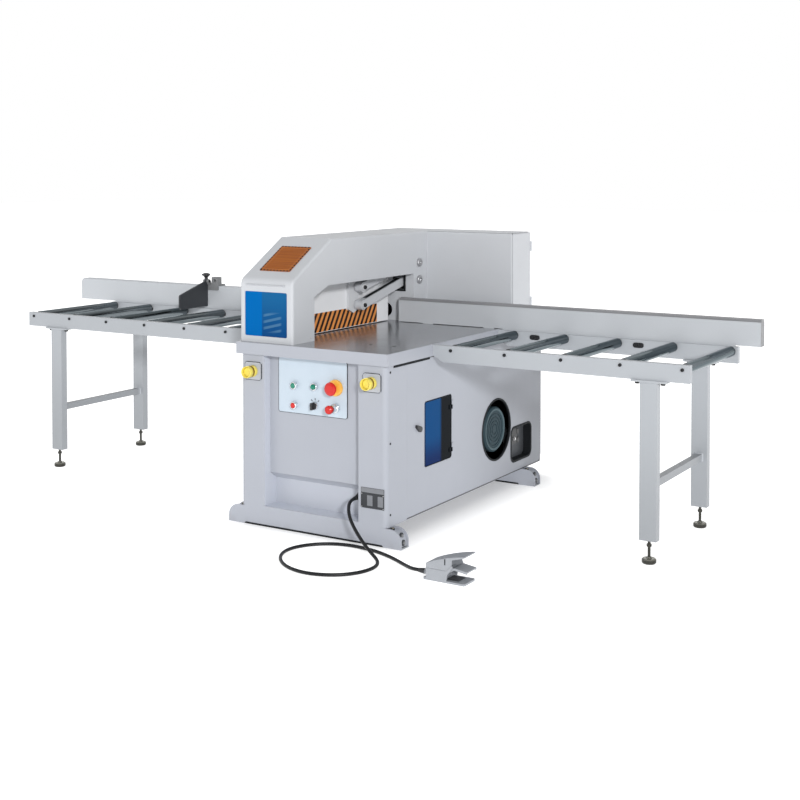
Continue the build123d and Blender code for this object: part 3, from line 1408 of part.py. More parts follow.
# Origin: middle of the base of everything but the cord
box_all = group(nodes.values()).bounding_box()
origin_x = (box_all.min.X + box_all.max.X) / 2
origin_y = (box_all.min.Y + box_all.max.Y) / 2
origin_z = box_all.min.Z
nodes["pedal_cord"] = cord
if __name__ == "__main__":
    os.makedirs("parts", exist_ok=True)
    for name, shape in nodes.items():
        export_step(Pos(-origin_x, -origin_y, -origin_z) * shape, f"parts/{name}.step")
    print(len(nodes), "nodes, origin", round(origin_x, 2), round(origin_y, 2), round(origin_z, 2))
    print("cord radii in diameters", [round(bend / cord_radius / 2, 1) for bend in bends])
    cord_share = cord.volume / (pi * cord_radius**2 * cord_length)
    print("cord length", round(cord_length), "volume share", round(cord_share, 4))
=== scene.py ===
import math
import bmesh
import bpy
import numpy as np
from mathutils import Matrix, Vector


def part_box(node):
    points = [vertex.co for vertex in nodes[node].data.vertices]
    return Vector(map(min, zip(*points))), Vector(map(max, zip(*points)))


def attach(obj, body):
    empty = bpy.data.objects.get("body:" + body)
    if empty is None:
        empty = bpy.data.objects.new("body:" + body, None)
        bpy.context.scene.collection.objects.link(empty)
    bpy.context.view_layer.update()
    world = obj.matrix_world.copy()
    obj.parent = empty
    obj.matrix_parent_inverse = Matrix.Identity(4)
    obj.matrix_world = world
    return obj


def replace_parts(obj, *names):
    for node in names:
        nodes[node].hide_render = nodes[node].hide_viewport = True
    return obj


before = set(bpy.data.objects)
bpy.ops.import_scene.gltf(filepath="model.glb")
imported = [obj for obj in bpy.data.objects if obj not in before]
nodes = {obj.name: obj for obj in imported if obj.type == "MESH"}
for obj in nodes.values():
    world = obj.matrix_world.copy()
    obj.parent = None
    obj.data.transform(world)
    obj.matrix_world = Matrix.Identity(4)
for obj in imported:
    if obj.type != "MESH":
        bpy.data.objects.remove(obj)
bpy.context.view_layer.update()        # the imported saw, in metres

scene = bpy.context.scene

# places are in millimetres: x from the cabinet's middle, y back from its front face, z up from the floor
panelLow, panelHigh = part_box("front_panel")
cabinetMiddle = np.array(((panelLow.x + panelHigh.x) / 2, panelLow.y, 0.0))


def at(x, y, z):
    # such places in the shared frame's metres
    return np.stack(np.broadcast_arrays(x, y, z), -1) / 1000 + cabinetMiddle


def span(node):
    # the low and high corners of a node, as such places
    low, high = (np.array(corner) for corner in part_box(node))
    return (low - cabinetMiddle) * 1000, (high - cabinetMiddle) * 1000


print("frame loaded with", len(nodes), "nodes")

# camera: fitted to the photograph, 800 pixels square
cameraSet = dict(place=(3430.4, -4852.6, 1671.3), turn=0.548, dip=0.031, focal=1322.7, lift=194.15, side=800,
                 sensor=36, far=60)


def addCamera(c):
    data = bpy.data.cameras.new("camera")
    data.sensor_width = c["sensor"]
    data.lens = c["sensor"] * c["focal"] / c["side"]
    data.shift_y = -c["lift"] / c["side"]
    data.clip_end = c["far"]
    eye = bpy.data.objects.new("camera", data)
    eye.location = at(*c["place"])
    eye.rotation_euler = (math.pi / 2 - c["dip"], 0, c["turn"])
    scene.collection.objects.link(eye)
    scene.camera = eye


addCamera(cameraSet)
print("camera placed")

# light: a white backdrop and horizon, a dimmer room, a soft ceiling and a low key from the front right
lightSet = dict(
    backdrop=1.0, room=0.18, ceiling=0.66, behind=(-0.52, 0.85, 0.0), backdropEdge=(0.25, 0.75),
    horizonEdge=(0.03, 0.24), ceilingEdge=(0.3, 0.75),
    suns=(("keySun", 2.2, 0.12, (-0.66, 0.70, -0.28)), ("fillSun", 0.4, 0.8, (0.75, 0.6, -0.3))))


def addLight(s):
    world = bpy.data.worlds.new("studio")
    world.use_nodes = True
    tree = world.node_tree
    sky = tree.nodes["Background"]
    where = tree.nodes.new("ShaderNodeTexCoord")
    up = (0.0, 0.0, 1.0)

    def rise(way, edge, first, second):
        # first below the edge, second above it, by how far a direction goes the given way
        facing = tree.nodes.new("ShaderNodeVectorMath")
        facing.operation = "DOT_PRODUCT"
        facing.inputs[1].default_value = way
        tree.links.new(where.outputs["Generated"], facing.inputs[0])
        ramp = tree.nodes.new("ShaderNodeMapRange")
        ramp.interpolation_type = "SMOOTHSTEP"
        tree.links.new(facing.outputs["Value"], ramp.inputs["Value"])
        for key, value in zip(("From Min", "From Max", "To Min", "To Max"), (*edge, first, second)):
            if isinstance(value, float):
                ramp.inputs[key].default_value = value
            else:
                tree.links.new(value, ramp.inputs[key])
        return ramp.outputs["Result"]

    around = rise(s["behind"], s["backdropEdge"], s["room"], s["backdrop"])
    wall = rise(up, s["horizonEdge"], s["backdrop"], around)
    tree.links.new(rise(up, s["ceilingEdge"], wall, s["ceiling"]), sky.inputs["Strength"])
    sky.inputs["Color"].default_value = (1, 1, 1, 1)
    scene.world = world
    for name, strength, soft, aim in s["suns"]:
        data = bpy.data.lights.new(name, "SUN")
        data.energy = strength
        data.angle = soft
        sun = bpy.data.objects.new(name, data)
        away = np.array(aim) / np.linalg.norm(aim)
        sun.rotation_euler = (math.acos(-away[2]), 0, math.atan2(-away[0], away[1]))
        scene.collection.objects.link(sun)


addLight(lightSet)
scene.view_settings.view_transform = "Standard"
scene.view_settings.look = "None"
print("light set")


# shader sums: a Value is an output socket, and each sum or product adds one Math node
class Value:
    def __init__(self, finish, node, out):
        self.finish, self.node, self.socket = finish, node, node.outputs[out]

    def other(self, out):
        return Value(self.finish, self.node, out)

    def math(self, operation, *rest, first=None):
        terms = (self, *rest) if first is None else (first, self)
        return self.finish.node("ShaderNodeMath", dict(operation=operation), dict(enumerate(terms)))

    def __add__(self, term):
        return self.math("ADD", term)

    def __sub__(self, term):
        return self.math("SUBTRACT", term)

    def __rsub__(self, term):
        return self.math("SUBTRACT", first=term)

    def __mul__(self, term):
        return self.math("MULTIPLY", term)

    def __truediv__(self, term):
        return self.math("DIVIDE", term)

    def __gt__(self, term):
        return self.math("GREATER_THAN", term)

    def __abs__(self):
        return self.math("ABSOLUTE")

    def clamp(self):
        return self.math("MINIMUM", 1.0).math("MAXIMUM", 0.0)

    def frac(self):
        return self.math("FRACT")

    __radd__ = __add__
    __rmul__ = __mul__


class Finish:
    # one material; node() adds any node and hands back one output, mm is the place in millimetres
    def __init__(self, name, **constants):
        self.material = bpy.data.materials.new(name)
        self.material.use_nodes = True
        self.tree = self.material.node_tree
        self.shader = self.tree.nodes["Principled BSDF"]
        for key, value in constants.items():
            self.shader.inputs[key.replace("_", " ")].default_value = value
        place = self.node("ShaderNodeTexCoord", out="Object")
        self.normal = place.other("Normal")
        self.mm = self.node("ShaderNodeMapping", {}, dict(
            Vector=place, Location=tuple(-1000 * cabinetMiddle), Scale=(1000, 1000, 1000)))
        self.x, self.y, self.z = self.split(self.mm)

    def node(self, kind, settings=None, inputs=None, out=0):
        made = self.tree.nodes.new(kind)
        for key, value in (settings or {}).items():
            setattr(made, key, value)
        for key, value in (inputs or {}).items():
            if isinstance(value, Value):
                self.tree.links.new(value.socket, made.inputs[key])
            else:
                made.inputs[key].default_value = value
        return Value(self, made, out)

    def split(self, vector):
        parts = self.node("ShaderNodeSeparateXYZ", {}, {0: vector})
        return parts, parts.other(1), parts.other(2)

    def noise(self, scale, detail=2.0, stretch=(1, 1, 1), rough=0.5):
        place = self.node("ShaderNodeMapping", {}, dict(Vector=self.mm, Scale=stretch))
        inputs = dict(Vector=place, Scale=scale, Detail=detail, Roughness=rough)
        return self.node("ShaderNodeTexNoise", {}, inputs)

    def ease(self, value, low, high):
        # 0 below low, 1 above high, smooth between
        inputs = {"Value": value, "From Min": low, "From Max": high}
        return self.node("ShaderNodeMapRange", dict(interpolation_type="SMOOTHSTEP"), inputs)

    def within(self, value, low, high, soft=0.4):
        return self.ease(value, low - soft, low + soft) * (1 - self.ease(value, high - soft, high + soft))

    def radius(self, y, z):
        # distance from the line along x through y, z
        dy = self.y - y
        dz = self.z - z
        return (dy * dy + dz * dz).math("SQRT")

    def blend(self, factor, first, second):
        return self.node("ShaderNodeMix", dict(data_type="RGBA"), {0: factor, 6: first, 7: second}, out=2)

    def feed(self, **links):
        for key, value in links.items():
            self.tree.links.new(value.socket, self.shader.inputs[key.replace("_", " ")])

    def bump(self, height, depth):
        # height of 1 stands depth millimetres proud
        inputs = dict(Height=height, Distance=depth / 1000, Strength=1.0)
        self.feed(Normal=self.node("ShaderNodeBump", {}, inputs))


def tint(colour, factor):
    return tuple(min(1.0, part * factor) for part in colour[:3]) + (1.0,)


# base colours of the coats, and the painted shade given to what stands in the cabinet's dark inside
coats = dict(cabinet=(0.345, 0.362, 0.405), panel=(0.345, 0.362, 0.405), hood=(0.475, 0.49, 0.515),
             rail=(0.37, 0.39, 0.415), fence=(0.43, 0.45, 0.475), edge=(0.35, 0.367, 0.41),
             guard=(0.74, 0.75, 0.77), bracket=(0.55, 0.56, 0.58))
insideShade = (0.035, 0.036, 0.04, 1)

# powder coat: broad tone drift, dark specks, fine orange peel, a little dust near the floor
coatSet = dict(drift=0.05, speck=0.08, speckTint=0.55, grime=0.22, grimeTop=40.0, dustAndShade=(0.16, 0.15, 0.14, 1),
               rough=0.42, peelDepth=0.05)


def coatBase(name, colour):
    s = coatSet
    f = Finish(name, Specular_IOR_Level=0.42)
    broad = f.noise(0.0035, 3.0)
    cloud = f.noise(0.02, 4.0)
    peel = f.noise(0.55, 2.0)
    speck = f.ease(f.noise(0.11, 6.0, rough=0.7), 0.66, 0.74)
    tone = f.blend(broad, tint(colour, 1 - s["drift"]), tint(colour, 1 + s["drift"]))
    tone = f.blend(speck * s["speck"], tone, tint(colour, s["speckTint"]))
    grime = (1 - f.z / s["grimeTop"]).clamp() * f.ease(cloud, 0.4, 0.75)
    tone = f.blend(grime * s["grime"], tone, s["dustAndShade"])
    return f, tone, cloud, peel, grime


def finishCoat(f, tone, cloud, peel, grime, rough=coatSet["rough"]):
    f.feed(Base_Color=tone, Roughness=rough - 0.06 + cloud * 0.12 + grime * 0.2)
    f.bump(peel + cloud * 0.6, coatSet["peelDepth"])
    return f.material


def hoodFinish():
    return finishCoat(*coatBase("hoodCoat", coats["hood"]))


frameSet = dict(side=398, depth=(26, 1558), floor=(84.5, 85.5), ledge=(-270, 255), ledgeRear=(100, 110),
                ledgeLightTint=1.7)


def frameFinish(s):
    # pale coat outside; painted shade on what stands inside the cabinet, and painted light on a ledge at the
    # front
    f, tone, cloud, peel, grime = coatBase("frameCoat", coats["cabinet"])
    # painted shade: all that stands inside the cabinet takes the dark inside colour
    inside = f.within(f.x, -s["side"], s["side"]) * f.within(f.y, *s["depth"]) * f.ease(f.z, *s["floor"])
    up = f.ease(f.split(f.normal)[2], 0.7, 0.9)
    # painted light: the ledge's upward faces at the front are lightened
    ledge = up * f.within(f.x, *s["ledge"]) * (1 - f.ease(f.y, *s["ledgeRear"]))
    tone = f.blend(ledge * (1 - inside), tone, tint(coats["cabinet"], s["ledgeLightTint"]))
    return finishCoat(f, f.blend(inside, tone, insideShade), cloud, peel, grime)


frontSet = dict(recess=(3, 5), across=(-285, 275), soft=5, foot=(212, 246), recessLightTints=(1.2, 1.42, 1.6))


def frontFinish(s):
    # the folded front: in its recess the foot, the returns and the lower shelf get painted light, each
    # lighter than the front
    f, tone, cloud, peel, grime = coatBase("frontCoat", coats["panel"])
    facing = f.split(f.normal)
    sunk = f.ease(f.y, *s["recess"]) * f.within(f.x, *s["across"], s["soft"])
    fold = f.ease(facing[0], 0.2, 0.6) * sunk
    shelf = f.ease(facing[2], 0.5, 0.9) * sunk
    foot = (1 - f.ease(f.z, *s["foot"])) * sunk
    # painted light on the recess's foot, its returns and its shelf
    for share, factor in zip((foot, fold, shelf), s["recessLightTints"]):
        tone = f.blend(share, tone, tint(coats["panel"], factor))
    return finishCoat(f, tone, cloud, peel, grime)


sheetSet = dict(side=398.5, rear=(1557.5, 1558.5), tableShadowLine=(786.5, 788.5), dustAndShade=(520, 1450), rearShadeSide=(390, 398),
                rearShadeShare=0.75, rearShadeTint=0.5)


def panelFinish(s):
    # side and rear sheets: painted shade on what lies inside, a painted shadow line under the table's edge,
    # painted shade darkening the outer side towards the rear
    f, tone, cloud, peel, grime = coatBase("panelCoat", coats["panel"])
    inside = f.within(f.x, -s["side"], s["side"]) * (1 - f.ease(f.y, *s["rear"]))
    # painted shadow in a thin band under the table's edge
    tableShadowLine = f.ease(f.z, *s["tableShadowLine"])
    # painted shade: the outer side sheet darkens towards the rear
    dustAndShade = f.ease(f.y, *s["dustAndShade"]) * f.ease(f.x, *s["rearShadeSide"])
    tone = f.blend(dustAndShade * s["rearShadeShare"], tone, tint(coats["panel"], s["rearShadeTint"]))
    return finishCoat(f, f.blend((inside + tableShadowLine).clamp(), tone, insideShade), cloud, peel, grime)


standSet = dict(infeed=(-2000, 400), infeedShare=0.35, infeedTint=0.66, height=(60, 800), brace=(432, 1002),
                braceSoft=2, braceShare=0.6, lowAndBraceShadeTint=0.55)


def standFinish(name, lowAndBraceShade, s):
    # the coat is darker towards the infeed end; by the share it also takes painted shade towards the floor
    # and on the braces
    f, tone, cloud, peel, grime = coatBase(name, coats["rail"])
    infeed = 1 - f.ease(f.x, *s["infeed"])
    tone = f.blend(infeed * s["infeedShare"], tone, tint(coats["rail"], s["infeedTint"]))
    # painted shade: darker towards the floor and on the braces
    lower = (1 - f.ease(f.z, *s["height"])) * lowAndBraceShade
    brace = f.within(f.y, *s["brace"], s["braceSoft"]) * lowAndBraceShade * s["braceShare"]
    tone = f.blend((lower + brace).clamp(), tone, tint(coats["rail"], s["lowAndBraceShadeTint"]))
    return finishCoat(f, tone, cloud, peel, grime)


def tableFinish():
    # ground steel on top with long grinding lines, powder coat on the edges
    f, tone, cloud, peel = coatBase("groundTable", coats["edge"])[:4]
    up = f.ease(f.split(f.normal)[2], 0.7, 0.9)
    lines = f.noise(0.9, 3.0, stretch=(0.012, 1.0, 1.0))
    wear = f.noise(0.012, 5.0, rough=0.62)
    steel = f.blend(lines * 0.6 + wear * 0.4, (0.34, 0.35, 0.375, 1), (0.53, 0.535, 0.55, 1))
    shine = {0: up, 2: cloud * 0.1 + 0.38, 3: lines * 0.06 + wear * 0.12 + 0.13}
    f.feed(Base_Color=f.blend(up, tone, steel), Metallic=up * 0.88,
           Roughness=f.node("ShaderNodeMix", {}, shine))
    f.bump(lines * up * 0.4 + peel * (1 - up), 0.02)
    return f.material


fenceSet = dict(strip=(962.5, 963.5), outfeed=(-200, -190), end=(1.5, 0.5))


def fenceFinish(s):
    # pale coat; the outfeed fence has a dark strip on top and a darker end
    f, tone, cloud, peel, grime = coatBase("fenceCoat", coats["fence"])
    right = span("fences")[1][0]
    strip = f.ease(f.z, *s["strip"]) * f.ease(f.x, *s["outfeed"])
    end = f.ease(f.x, right - s["end"][0], right - s["end"][1])
    scuff = f.noise(0.03, 4.0, stretch=(0.1, 1, 1))
    dark = f.blend(scuff, (0.15, 0.15, 0.16, 1), (0.26, 0.265, 0.275, 1))
    return finishCoat(f, f.blend((strip + end).clamp(), tone, dark), cloud, peel, grime)


rollerSet = dict(plug=7, soft=0.6)


def rollerFinish(s):
    # plated tube with fine turning rings and painted dark reflection bands along it; black end plugs next to
    # the rails, which also paint the shade between roller and rail
    f = Finish("rollerPlate", Specular_Tint=(0.62, 0.66, 0.68, 1))
    front, back = (corner[1] for corner in span("left_roller_1"))
    plug = 1 - f.within(f.y, front + s["plug"], back - s["plug"], s["soft"])
    rings = f.noise(0.8, 2.0, stretch=(0.02, 1.0, 0.02))
    smear = f.noise(0.02, 4.0)
    # painted reflection: dark bands drawn out along the roller
    darkReflectionBands = f.ease(f.noise(0.05, 3.0, stretch=(1.0, 0.02, 1.6)), 0.42, 0.6)
    plate = f.blend(rings * 0.4 + smear * 0.6, (0.12, 0.14, 0.15, 1), (0.25, 0.27, 0.285, 1))
    plate = f.blend(darkReflectionBands * 0.6, plate, (0.04, 0.056, 0.062, 1))
    f.feed(Base_Color=f.blend(plug, plate, (0.02, 0.02, 0.022, 1)), Metallic=1 - plug,
           Roughness=smear * 0.10 + rings * 0.04 + plug * 0.35 + 0.03)
    f.bump(rings, 0.006)
    return f.material


def metalFinish(name, dark, light, rough=0.32, stretch=(1, 1, 1), metallic=1.0, depth=0.02, **constants):
    # fine grain, drawn out along a piece by stretch, with broad stains
    f = Finish(name, Metallic=metallic, **constants)
    grain = f.noise(0.4, 3.0, stretch=stretch)
    stain = f.noise(0.03, 4.0)
    f.feed(Base_Color=f.blend(grain * 0.5 + stain * 0.5, tint(dark, 1), tint(light, 1)),
           Roughness=grain * 0.12 + stain * 0.14 + (rough - 0.13))
    f.bump(grain, depth)
    return f.material


def feetFinish():
    # levelling feet: painted shade on the dark turned rims, painted highlight on the brighter upward tops
    f = Finish("footSteel", Metallic=1.0)
    up = f.ease(f.split(f.normal)[2], 0.1, 0.6)
    rub = f.noise(0.2, 4.0)
    # painted highlight on upward faces, painted shade on the sides
    f.feed(Base_Color=f.blend(up * 0.8 + rub * 0.2, (0.028, 0.028, 0.025, 1), (0.30, 0.295, 0.26, 1)),
           Roughness=rub * 0.1 + 0.22)
    f.bump(rub, 0.01)
    return f.material


def castFinish(name, colour, lump=0.12, depth=0.25, rough=0.55):
    # painted casting: lumpy skin with dull dust in the hollows
    f = Finish(name, Specular_IOR_Level=0.4)
    skin = f.noise(lump, 4.0)
    dustAndShade = f.noise(0.02, 4.0)
    f.feed(Base_Color=f.blend(skin * 0.6 + dustAndShade * 0.4, tint(colour, 0.8), tint(colour, 1.22)),
           Roughness=dustAndShade * 0.2 + (rough - 0.1))
    f.bump(skin, depth)
    return f.material


motorSet = dict(axis=(1043.5, 341.5), rim=(93, 104), rimSoft=2.0, front=(4, 2))


def motorFinish(s):
    # dark teal enamel, with a painted highlight on the raised rim of the fan cover
    f = Finish("motorEnamel", Specular_IOR_Level=0.2)
    right = span("motor")[1][0]
    # painted highlight on the fan cover's raised rim
    rim = f.within(f.radius(*s["axis"]), *s["rim"], s["rimSoft"])
    rim = rim * f.ease(f.x, right - s["front"][0], right - s["front"][1])
    skin = f.noise(0.2, 4.0)
    dustAndShade = f.noise(0.02, 4.0)
    tone = f.blend(skin * 0.5 + dustAndShade * 0.5, (0.014, 0.031, 0.040, 1), (0.026, 0.050, 0.062, 1))
    f.feed(Base_Color=f.blend(rim * 0.7, tone, (0.075, 0.115, 0.13, 1)), Roughness=dustAndShade * 0.2 + 0.5)
    f.bump(skin, 0.06)
    return f.material


def plasticFinish(name, colour, rough=0.3, grain=0.6, depth=0.02, **constants):
    # fine pores under broad patches of rubbed gloss
    f = Finish(name, **constants)
    pores = f.noise(grain, 2.0)
    rub = f.noise(0.06, 4.0)
    f.feed(Base_Color=f.blend(rub, tint(colour, 0.9), tint(colour, 1.1)),
           Roughness=rub * 0.14 + (rough - 0.07))
    f.bump(pores, depth)
    return f.material


# blue sheets: where the painted light and shade of what lies behind begins, and the guard's slanted bands
# painted on the hood's pane
acrylicSet = dict(hoodEdge=-294.7, hoodSoft=4, sideEdge=475.0, sideSoft=14, glow=(300, 430), lean=0.24,
                  start=977.6, pitch=29.5, bandX=(-284, -186), bandZ=(900, 988), bandSoft=8,
                  knuckleX=(401.2, 401.8), knuckleY=(577, 578))


def acrylicFinish(s):
    # painted light and shade of what lies behind: light on the left part of the hood's pane, shade with the
    # guard's painted bands on its right part, light towards the top of the side pane and shade on its right
    # part; the hinge is painted
    f = Finish("blueSheet", Transmission_Weight=0.15, IOR=1.2, Specular_IOR_Level=0.1)
    haze = f.noise(0.015, 4.0)
    wipe = f.ease(f.noise(0.25, 5.0, stretch=(1, 1, 0.08)), 0.62, 0.8)
    low, high = span("hood_window")
    drop = f.ease(f.z, low[2], high[2])
    slant = ((f.z - f.x * s["lean"] - s["start"]) / s["pitch"]).frac()
    bands = f.within(slant, 0.0, 0.42, 0.08)
    bands = bands * f.within(f.x, *s["bandX"], s["bandSoft"]) * f.within(f.z, *s["bandZ"], s["bandSoft"])
    # painted shade of the dark inside behind the hood's pane
    behind = f.blend(drop, (0.004, 0.06, 0.205, 1), (0.010, 0.115, 0.29, 1))
    behind = f.blend(bands * 0.55, behind, (0.10, 0.235, 0.36, 1))
    covered = f.ease(f.x, s["hoodEdge"] - s["hoodSoft"], s["hoodEdge"] + s["hoodSoft"])
    hood = f.blend(covered, (0.0, 0.125, 0.42, 1), behind)
    # painted light: the side pane lighter towards its top
    glow = f.blend(f.ease(f.z, *s["glow"]), (0.001, 0.018, 0.10, 1), (0.0, 0.06, 0.20, 1))
    covered = f.ease(f.y, s["sideEdge"] - s["sideSoft"], s["sideEdge"] + s["sideSoft"])
    side = f.blend(covered, glow, (0.001, 0.003, 0.006, 1))
    knuckle = f.ease(f.x, *s["knuckleX"]) * f.ease(f.y, *s["knuckleY"])
    tone = f.blend(f.x > 0.0, hood, f.blend(knuckle, side, tint(coats["panel"], 1)))
    f.feed(Base_Color=tone, Roughness=wipe * 0.12 + haze * 0.05 + 0.04)
    return f.material


def slopeFinish():
    # orange sheet with fine hairlines across
    f = Finish("orangeSheet", Specular_IOR_Level=0.3)
    hair = f.noise(0.3, 2.0, stretch=(0.01, 1, 1))
    sheet = f.blend(f.ease(hair, 0.3, 0.7), (0.27, 0.066, 0.005, 1), (0.40, 0.118, 0.010, 1))
    f.feed(Base_Color=sheet, Roughness=hair * 0.15 + 0.42)
    f.bump(hair, 0.015)
    return f.material


guardSet = dict(low=857.0, high=951.0, rear=938.0, rearSoft=0.5, pitch=41.0, lean=0.62, plate=(-1, 71.5),
                plateSoft=0.3, rough=0.36, specular=0.2)


def guardFinish(s):
    # pale coat with a band of slanted black and orange stripes along the lower edge
    f, tone, cloud, peel, grime = coatBase("guardCoat", coats["guard"])
    f.shader.inputs["Specular IOR Level"].default_value = s["specular"]
    left = span("hold_down_guard")[0][0]
    facing = abs(f.split(f.normal)[0]) > 0.5
    plate = f.within(f.x, left + s["plate"][0], left + s["plate"][1], s["plateSoft"])
    front = 1 - f.ease(f.y, s["rear"] - s["rearSoft"], s["rear"] + s["rearSoft"])
    band = f.within(f.z, s["low"], s["high"]) * front * plate * facing
    stripe = f.within(((f.y - f.z * s["lean"]) / s["pitch"]).frac(), 0.0, 0.5, 0.02)
    worn = f.noise(0.05, 5.0)
    orange = f.blend(worn, (0.62, 0.22, 0.05, 1), (0.76, 0.30, 0.08, 1))
    tone = f.blend(plate, tint(coats["bracket"], 1), tone)
    tone = f.blend(band, tone, f.blend(stripe, orange, (0.014, 0.006, 0.004, 1)))
    return finishCoat(f, tone, cloud, peel, grime, rough=s["rough"])


collarSet = dict(proud=(6, 4.5), colour=(0.62, 0.63, 0.65, 1))


def controlFinish(s):
    # pale blue-grey plate; the collars that stand proud of it are bright rings
    f = Finish("controlPlate", Specular_IOR_Level=0.35)
    rear = span("control_panel")[1][1]
    cloud = f.noise(0.02, 3.0)
    plate = f.blend(cloud, (0.45, 0.525, 0.595, 1), (0.485, 0.555, 0.625, 1))
    collar = 1 - f.ease(f.y, rear - s["proud"][0], rear - s["proud"][1])
    tone = f.blend(collar, plate, s["colour"])
    f.feed(Base_Color=tone, Roughness=cloud * 0.1 + 0.34 - collar * 0.1, Metallic=collar * 0.9)
    f.bump(f.noise(0.7, 2.0), 0.02)
    return f.material


barrelSet = dict(plate=(-4.4, -4.1), waistShade=(-36, -24.5), waistSoft=0.8)


def palmFinish(s):
    # pale square plate, yellow barrel in front of it with painted shade in a band round its waist
    f = Finish("palmYellow", Specular_IOR_Level=0.4)
    rub = f.noise(0.06, 4.0)
    plate = f.ease(f.y, *s["plate"])
    yellow = f.blend(rub, (0.70, 0.56, 0.07, 1), (0.80, 0.68, 0.15, 1))
    # painted shade in the groove round the barrel's waist
    waistShade = f.within(f.y, *s["waistShade"], s["waistSoft"])
    yellow = f.blend(waistShade, yellow, (0.19, 0.105, 0.008, 1))
    f.feed(Base_Color=f.blend(plate, yellow, tint(coats["panel"], 1.12)), Roughness=rub * 0.14 + 0.26)
    f.bump(f.noise(0.6, 2.0), 0.02)
    return f.material


bladeSet = dict(tip=(288, 290))


def bladeFinish(s):
    # fine rings of grinding marks, darker tips
    f = Finish("bladeSteel", Metallic=1.0)
    middle = sum(span("saw_blade")) / 2
    radius = f.radius(float(middle[1]), float(middle[2]))
    rings = f.node("ShaderNodeTexNoise", dict(noise_dimensions="1D"), dict(W=radius, Scale=0.7, Detail=3.0))
    tip = f.ease(radius, *s["tip"])
    steel = f.blend(rings, (0.34, 0.35, 0.36, 1), (0.62, 0.63, 0.64, 1))
    f.feed(Base_Color=f.blend(tip, steel, (0.30, 0.29, 0.27, 1)), Roughness=rings * 0.15 + 0.18)
    f.bump(rings, 0.02)
    return f.material


finishes = dict(
    frame=frameFinish(frameSet), panel=panelFinish(sheetSet), front=frontFinish(frontSet), hood=hoodFinish(),
    rail=standFinish("railCoat", 0.0, standSet), legs=standFinish("legCoat", 0.55, standSet),
    fence=fenceFinish(fenceSet), table=tableFinish(), roller=rollerFinish(rollerSet),
    bright=metalFinish("brightSteel", (0.36, 0.36, 0.37), (0.66, 0.66, 0.67), stretch=(1, 1, 0.1)),
    chrome=metalFinish("chromePlate", (0.66, 0.67, 0.69), (0.82, 0.83, 0.85), rough=0.2, depth=0.004),
    black=metalFinish("blackOxide", (0.010, 0.011, 0.012), (0.026, 0.027, 0.03), rough=0.55, metallic=0.0,
                      Specular_IOR_Level=0.25),
    feet=feetFinish(),
    charcoal=castFinish("charcoalCoat", (0.028, 0.031, 0.036), lump=0.4, depth=0.05, rough=0.5),
    zinc=metalFinish("zincPlate", (0.30, 0.27, 0.19), (0.56, 0.51, 0.40), rough=0.36),
    blade=bladeFinish(bladeSet), cast=castFinish("greyCasting", (0.17, 0.175, 0.18)),
    motor=motorFinish(motorSet),
    aluminium=metalFinish("anodised", (0.46, 0.47, 0.48), (0.66, 0.67, 0.68), stretch=(1, 1, 0.05)),
    belt=plasticFinish("beltRubber", (0.025, 0.025, 0.026), rough=0.75, depth=0.08),
    blue=acrylicFinish(acrylicSet), orange=slopeFinish(), guard=guardFinish(guardSet),
    control=controlFinish(collarSet), palm=palmFinish(barrelSet),
    yellow=plasticFinish("yellowPlastic", (0.72, 0.58, 0.08), rough=0.32),
    amber=plasticFinish("amberPlastic", (0.82, 0.42, 0.06), rough=0.32),
    red=plasticFinish("redPlastic", (0.52, 0.011, 0.007), rough=0.32),
    green=plasticFinish("greenPlastic", (0.012, 0.20, 0.13), rough=0.22),
    dark=plasticFinish("blackPlastic", (0.02, 0.021, 0.023), rough=0.42, depth=0.05),
    rubber=plasticFinish("edgeRubber", (0.009, 0.011, 0.013), rough=0.65, depth=0.06,
                         Specular_IOR_Level=0.2),
    mat=plasticFinish("matRubber", (0.045, 0.048, 0.054), rough=0.6, depth=0.1),
    cell=plasticFinish("plateCell", (0.17, 0.178, 0.195), rough=0.4, grain=0.25, depth=0.1),
    backing=castFinish("greyBacking", (0.06, 0.065, 0.072), lump=0.03, depth=0.05),
    felt=plasticFinish("filterFelt", (0.24, 0.085, 0.018), rough=0.9, grain=0.7, depth=0.2),
    duct=plasticFinish("ductGrey", (0.24, 0.25, 0.27), rough=0.5, depth=0.04),
    weld=castFinish("weldSeam", coats["rail"], lump=0.5, depth=0.6, rough=0.5),
    cord=plasticFinish("cordSheath", (0.007, 0.008, 0.009), rough=0.42, grain=0.9, depth=0.03,
                       Specular_IOR_Level=0.3),
    pedal=castFinish("pedalHammer", (0.30, 0.315, 0.34), lump=0.28, depth=0.16, rough=0.40))
print("finishes made", len(finishes))

wears = dict(
    frame=["cabinet_frame"], panel=["cabinet_panels"], front=["front_panel"],
    hood=["hood_shell", "rear_box", "rear_box_door", "clamp_upper_arm", "clamp_lower_arm"],
    rail=["table_rails"], legs=["leg_frames"], fence=["fences"], table=["table_top"],
    bright=["arbor", "lift_rod", "clamp_rod"], black=["roller_axles"],
    charcoal=["stop_plate"], feet=["levelling_feet"], blade=["saw_blade"],
    cast=["pivot_bearings", "motor_pulley", "swing_arm", "stop_carriage"], motor=["motor"],
    aluminium=["clamp_cylinder", "air_regulator", "lift_cylinder"], belt=["drive_belt"],
    blue=["hood_window", "side_window"], orange=["vent_grille"], guard=["hold_down_guard"],
    control=["control_panel"], palm=["palm_shrouds"], yellow=["left_palm_button", "right_palm_button"],
    red=["stop_button", "emergency_stop", "stop_mushroom"], green=["panel_lamp", "start_button"],
    dark=["cord_gland", "stop_knob", "selector_knob", "window_latch"],
    pedal=["pedal_housing", "pedal_treadle"], cord=["pedal_cord"],
    roller=[name for name in nodes if "_roller_" in name])
for finish, names in wears.items():
    for name in names:
        nodes[name].data.materials.clear()
        nodes[name].data.materials.append(finishes[finish])
print("finishes worn by", sum(map(len, wears.values())), "nodes")


